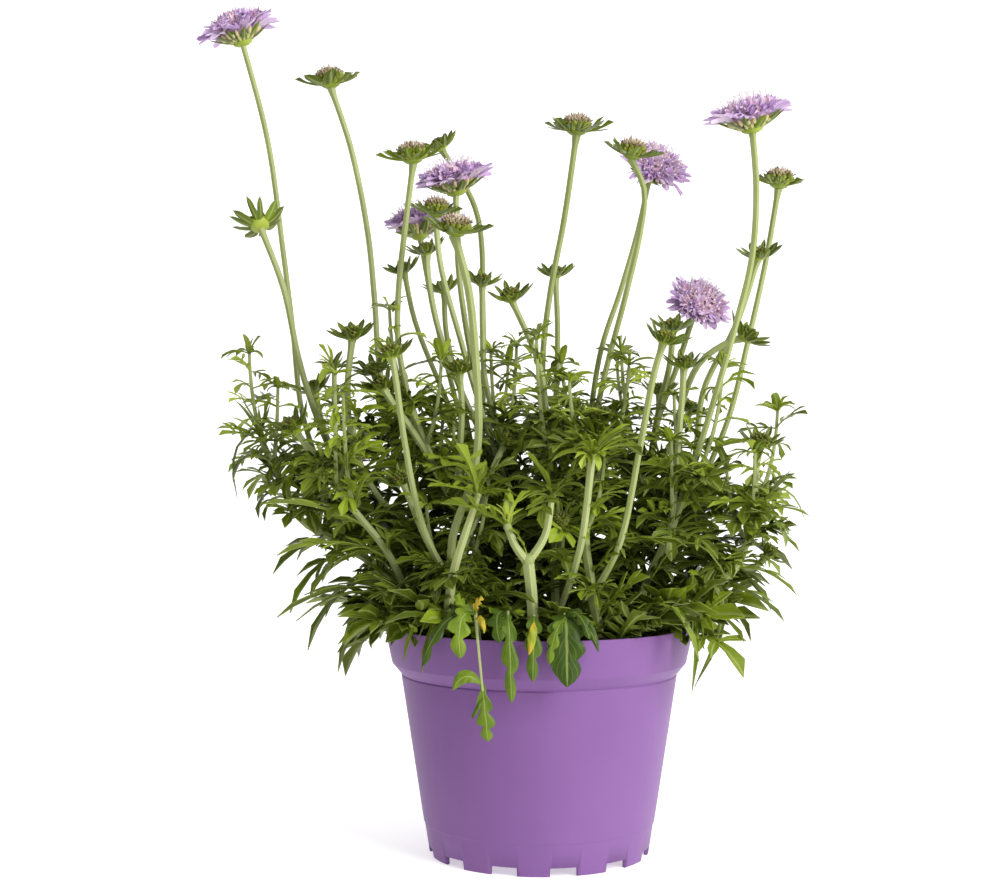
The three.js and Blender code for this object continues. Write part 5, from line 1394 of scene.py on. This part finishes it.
for i, (name, head) in enumerate(BLOOM_HEADS.items()):
    draw = seeded_draws(BLOOM_SEEDS + i)
    size = head["size"]
    stand = head_matrix(head) @ raised(head["seat"])
    facing = stand.to_3x3() @ UP
    bm = new_shape()
    add_ball(bm, stand @ raised(4) @ stretched(size * 0.42, 4.2), FLORET, 0.1, subdivisions=2)
    for count, out, level in ((15, 0.3, 0.4), (20, 0.44, 1.9)):
        for k in range(count):
            turn = (k + draw(-0.2, 0.2)) / count * 2 * pi
            spot = Vector((size * out * cos(turn), size * out * sin(turn), level))
            lean = Vector((cos(turn), sin(turn), 1.1)).normalized()
            add_ball(bm, stand @ towards(spot, lean) @ stretched(0.9, 2.0), CALYX, draw())
    # Each layer: its petals, how many, their inner and outer radius, height at the base and at the
    # tip, the half-width, and how far a tip may droop below its place
    layers = (
        (OUTER_PETALS, 11, 0.3, 1.04, 2.4, 6.2, 3.3, 4.5), (OUTER_PETALS, 11, 0.3, 0.9, 3.4, 7.6, 3.0, 2.5),
        (UPPER_PETALS, 13, 0.26, 0.78, 4.6, 8.6, 2.6, 2.6),
    )
    for petals, count, inner, outer, level, up, half, droop in layers:
        for k in range(count):
            turn = (k + draw(-0.3, 0.3)) / count * 2 * pi
            out = Vector((cos(turn), sin(turn), 0))
            far = size * outer * draw(0.86, 1.0)
            end = up - droop * draw() ** 1.5
            base = stand @ (out * size * inner + UP * level)
            middle = stand @ (out * (size * inner + far) / 2 + UP * (up - 0.3))
            tip = stand @ (out * far + UP * end)
            mesh, coordinates = petals[k % len(petals)]
            shape = bend(coordinates, base, middle, tip, half / PETAL_HALF * draw(0.8, 1.1), up=facing,
                         roll=draw(-0.6, 0.6), twist=draw(-0.5, 0.5), fold=0.0)
            add_copy(bm, mesh, shape, PETAL, draw())
    # Frills: the small petals of the inner florets, packed over the dome and turned every way
    for k, (place, way) in enumerate(dome_spots(FRILLS_PER_BLOOM, size * 0.62, 4.4, low=0.1)):
        foot = stand @ (place * 0.9 + UP * 4.2)
        lean = stand.to_3x3() @ (way + Vector((draw(-0.5, 0.5), draw(-0.5, 0.5), 0.2))).normalized()
        aside = lean.cross(Vector((draw(-1, 1), draw(-1, 1), draw(-1, 1)))).normalized()
        reach = draw(3.6, 5.4)
        bow = foot + lean * reach * 0.7
        end = bow + (lean * 0.3 + aside * draw(0.2, 0.6)) * reach * 0.5
        mesh, coordinates = FRILLS[k % 3]
        shape = bend(coordinates, foot, bow, end, draw(1.4, 2.2) / PETAL_HALF, up=aside, fold=0.0)
        add_copy(bm, mesh, shape, PETAL if k % 3 else FLORET, draw(0.2, 1.0))
    for place, way in dome_spots(FLORETS_PER_BLOOM, size * 0.5, 4.6, low=0.1):
        grow = Matrix.Rotation(draw(0, pi), 4, "Z") @ stretched(1.7, 1.7)
        spot = stand @ raised(FLORET_SEAT) @ towards(place, way) @ grow
        shape = [spot @ Vector(co) for co in FLORET_PLACES]
        add_copy(bm, FLORET_SHAPE, shape, FLORET, draw())
    for place, way in dome_spots(FLORETS_PER_BLOOM, size * 0.46, 4.5, low=0.1):
        lean = (way + Vector((draw(-0.25, 0.25), draw(-0.25, 0.25), 0.3))).normalized()
        spot = stand @ (place + UP * PIN_SEAT)
        long = head.get("pins", PIN_LENGTH) * draw(0.8, 1.15)
        add_pin(bm, spot, stand.to_3x3() @ lean, long, 0.2, STYLE, draw(), knob=0.42)
    piece = finish_mesh(bm, f"{name}_head", [petal_skin, floret_skin, style_skin, calyx_skin])
    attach(piece, "root")
    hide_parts(name)


# Spent discs: the domed button that is left when the petals drop, cream dried florets and dark
# bristles packed over the seeds.
DISC_SEEDS = 400
DRY_FLORETS = 90
DRY_SEAT = 2.4
dried, tree, shader = new_material("dried_floret", 0.8, ior=1.4)
# Dried floret: papery, from cream to brown, each one its own shade
age = add_node(tree, "ShaderNodeAttribute", attribute_name="age").outputs["Fac"]
place = add_node(tree, "ShaderNodeTexCoord").outputs["Object"]
mottle = add_node(tree, "ShaderNodeTexNoise", {"Vector": place, "Scale": 900, "Detail": 2})
tone = add_node(tree, "ShaderNodeMath", {0: mottle.outputs["Fac"], 1: 0.35, 2: age}, operation="MULTIPLY_ADD")
colour = add_node(tree, "ShaderNodeValToRGB", {"Fac": tone.outputs[0]},
                  stops=[(0.2, "#4A3626"), (0.45, "#836A54"), (0.75, "#B8A48E"), (1.0, "#DACABA")])
tree.links.new(colour.outputs["Color"], shader.inputs["Base Color"])

for i, (name, head) in enumerate(DISC_HEADS.items()):
    draw = seeded_draws(DISC_SEEDS + i)
    size = head["size"]
    stand = head_matrix(head)
    base = size * 0.46
    bm = new_shape()
    add_ball(bm, stand @ raised(2.0) @ stretched(base * 0.85, size * 0.2), 0, 0.1, subdivisions=3)
    for k, (place, way) in enumerate(dome_spots(DRY_FLORETS, base * 0.84, size * 0.22)):
        grow = stretched(0.5, draw(0.8, 1.5))
        spot = stand @ raised(DRY_SEAT) @ towards(place, way) @ grow
        top = place.z / (size * 0.22)
        add_ball(bm, spot, 0, draw(0.1, 0.6) + 0.35 * top)
        if k % 2 == 0:
            lean = (way + Vector((draw(-0.35, 0.35), draw(-0.35, 0.35), 0.3))).normalized()
            foot = stand @ (place + UP * DRY_SEAT)
            add_pin(bm, foot, stand.to_3x3() @ lean, draw(1.4, 2.4), 0.17, 0, 0.0 if k % 4 == 0 else 0.8)
    piece = finish_mesh(bm, f"{name}_dome", [dried])
    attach(piece, "root")
    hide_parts(name)
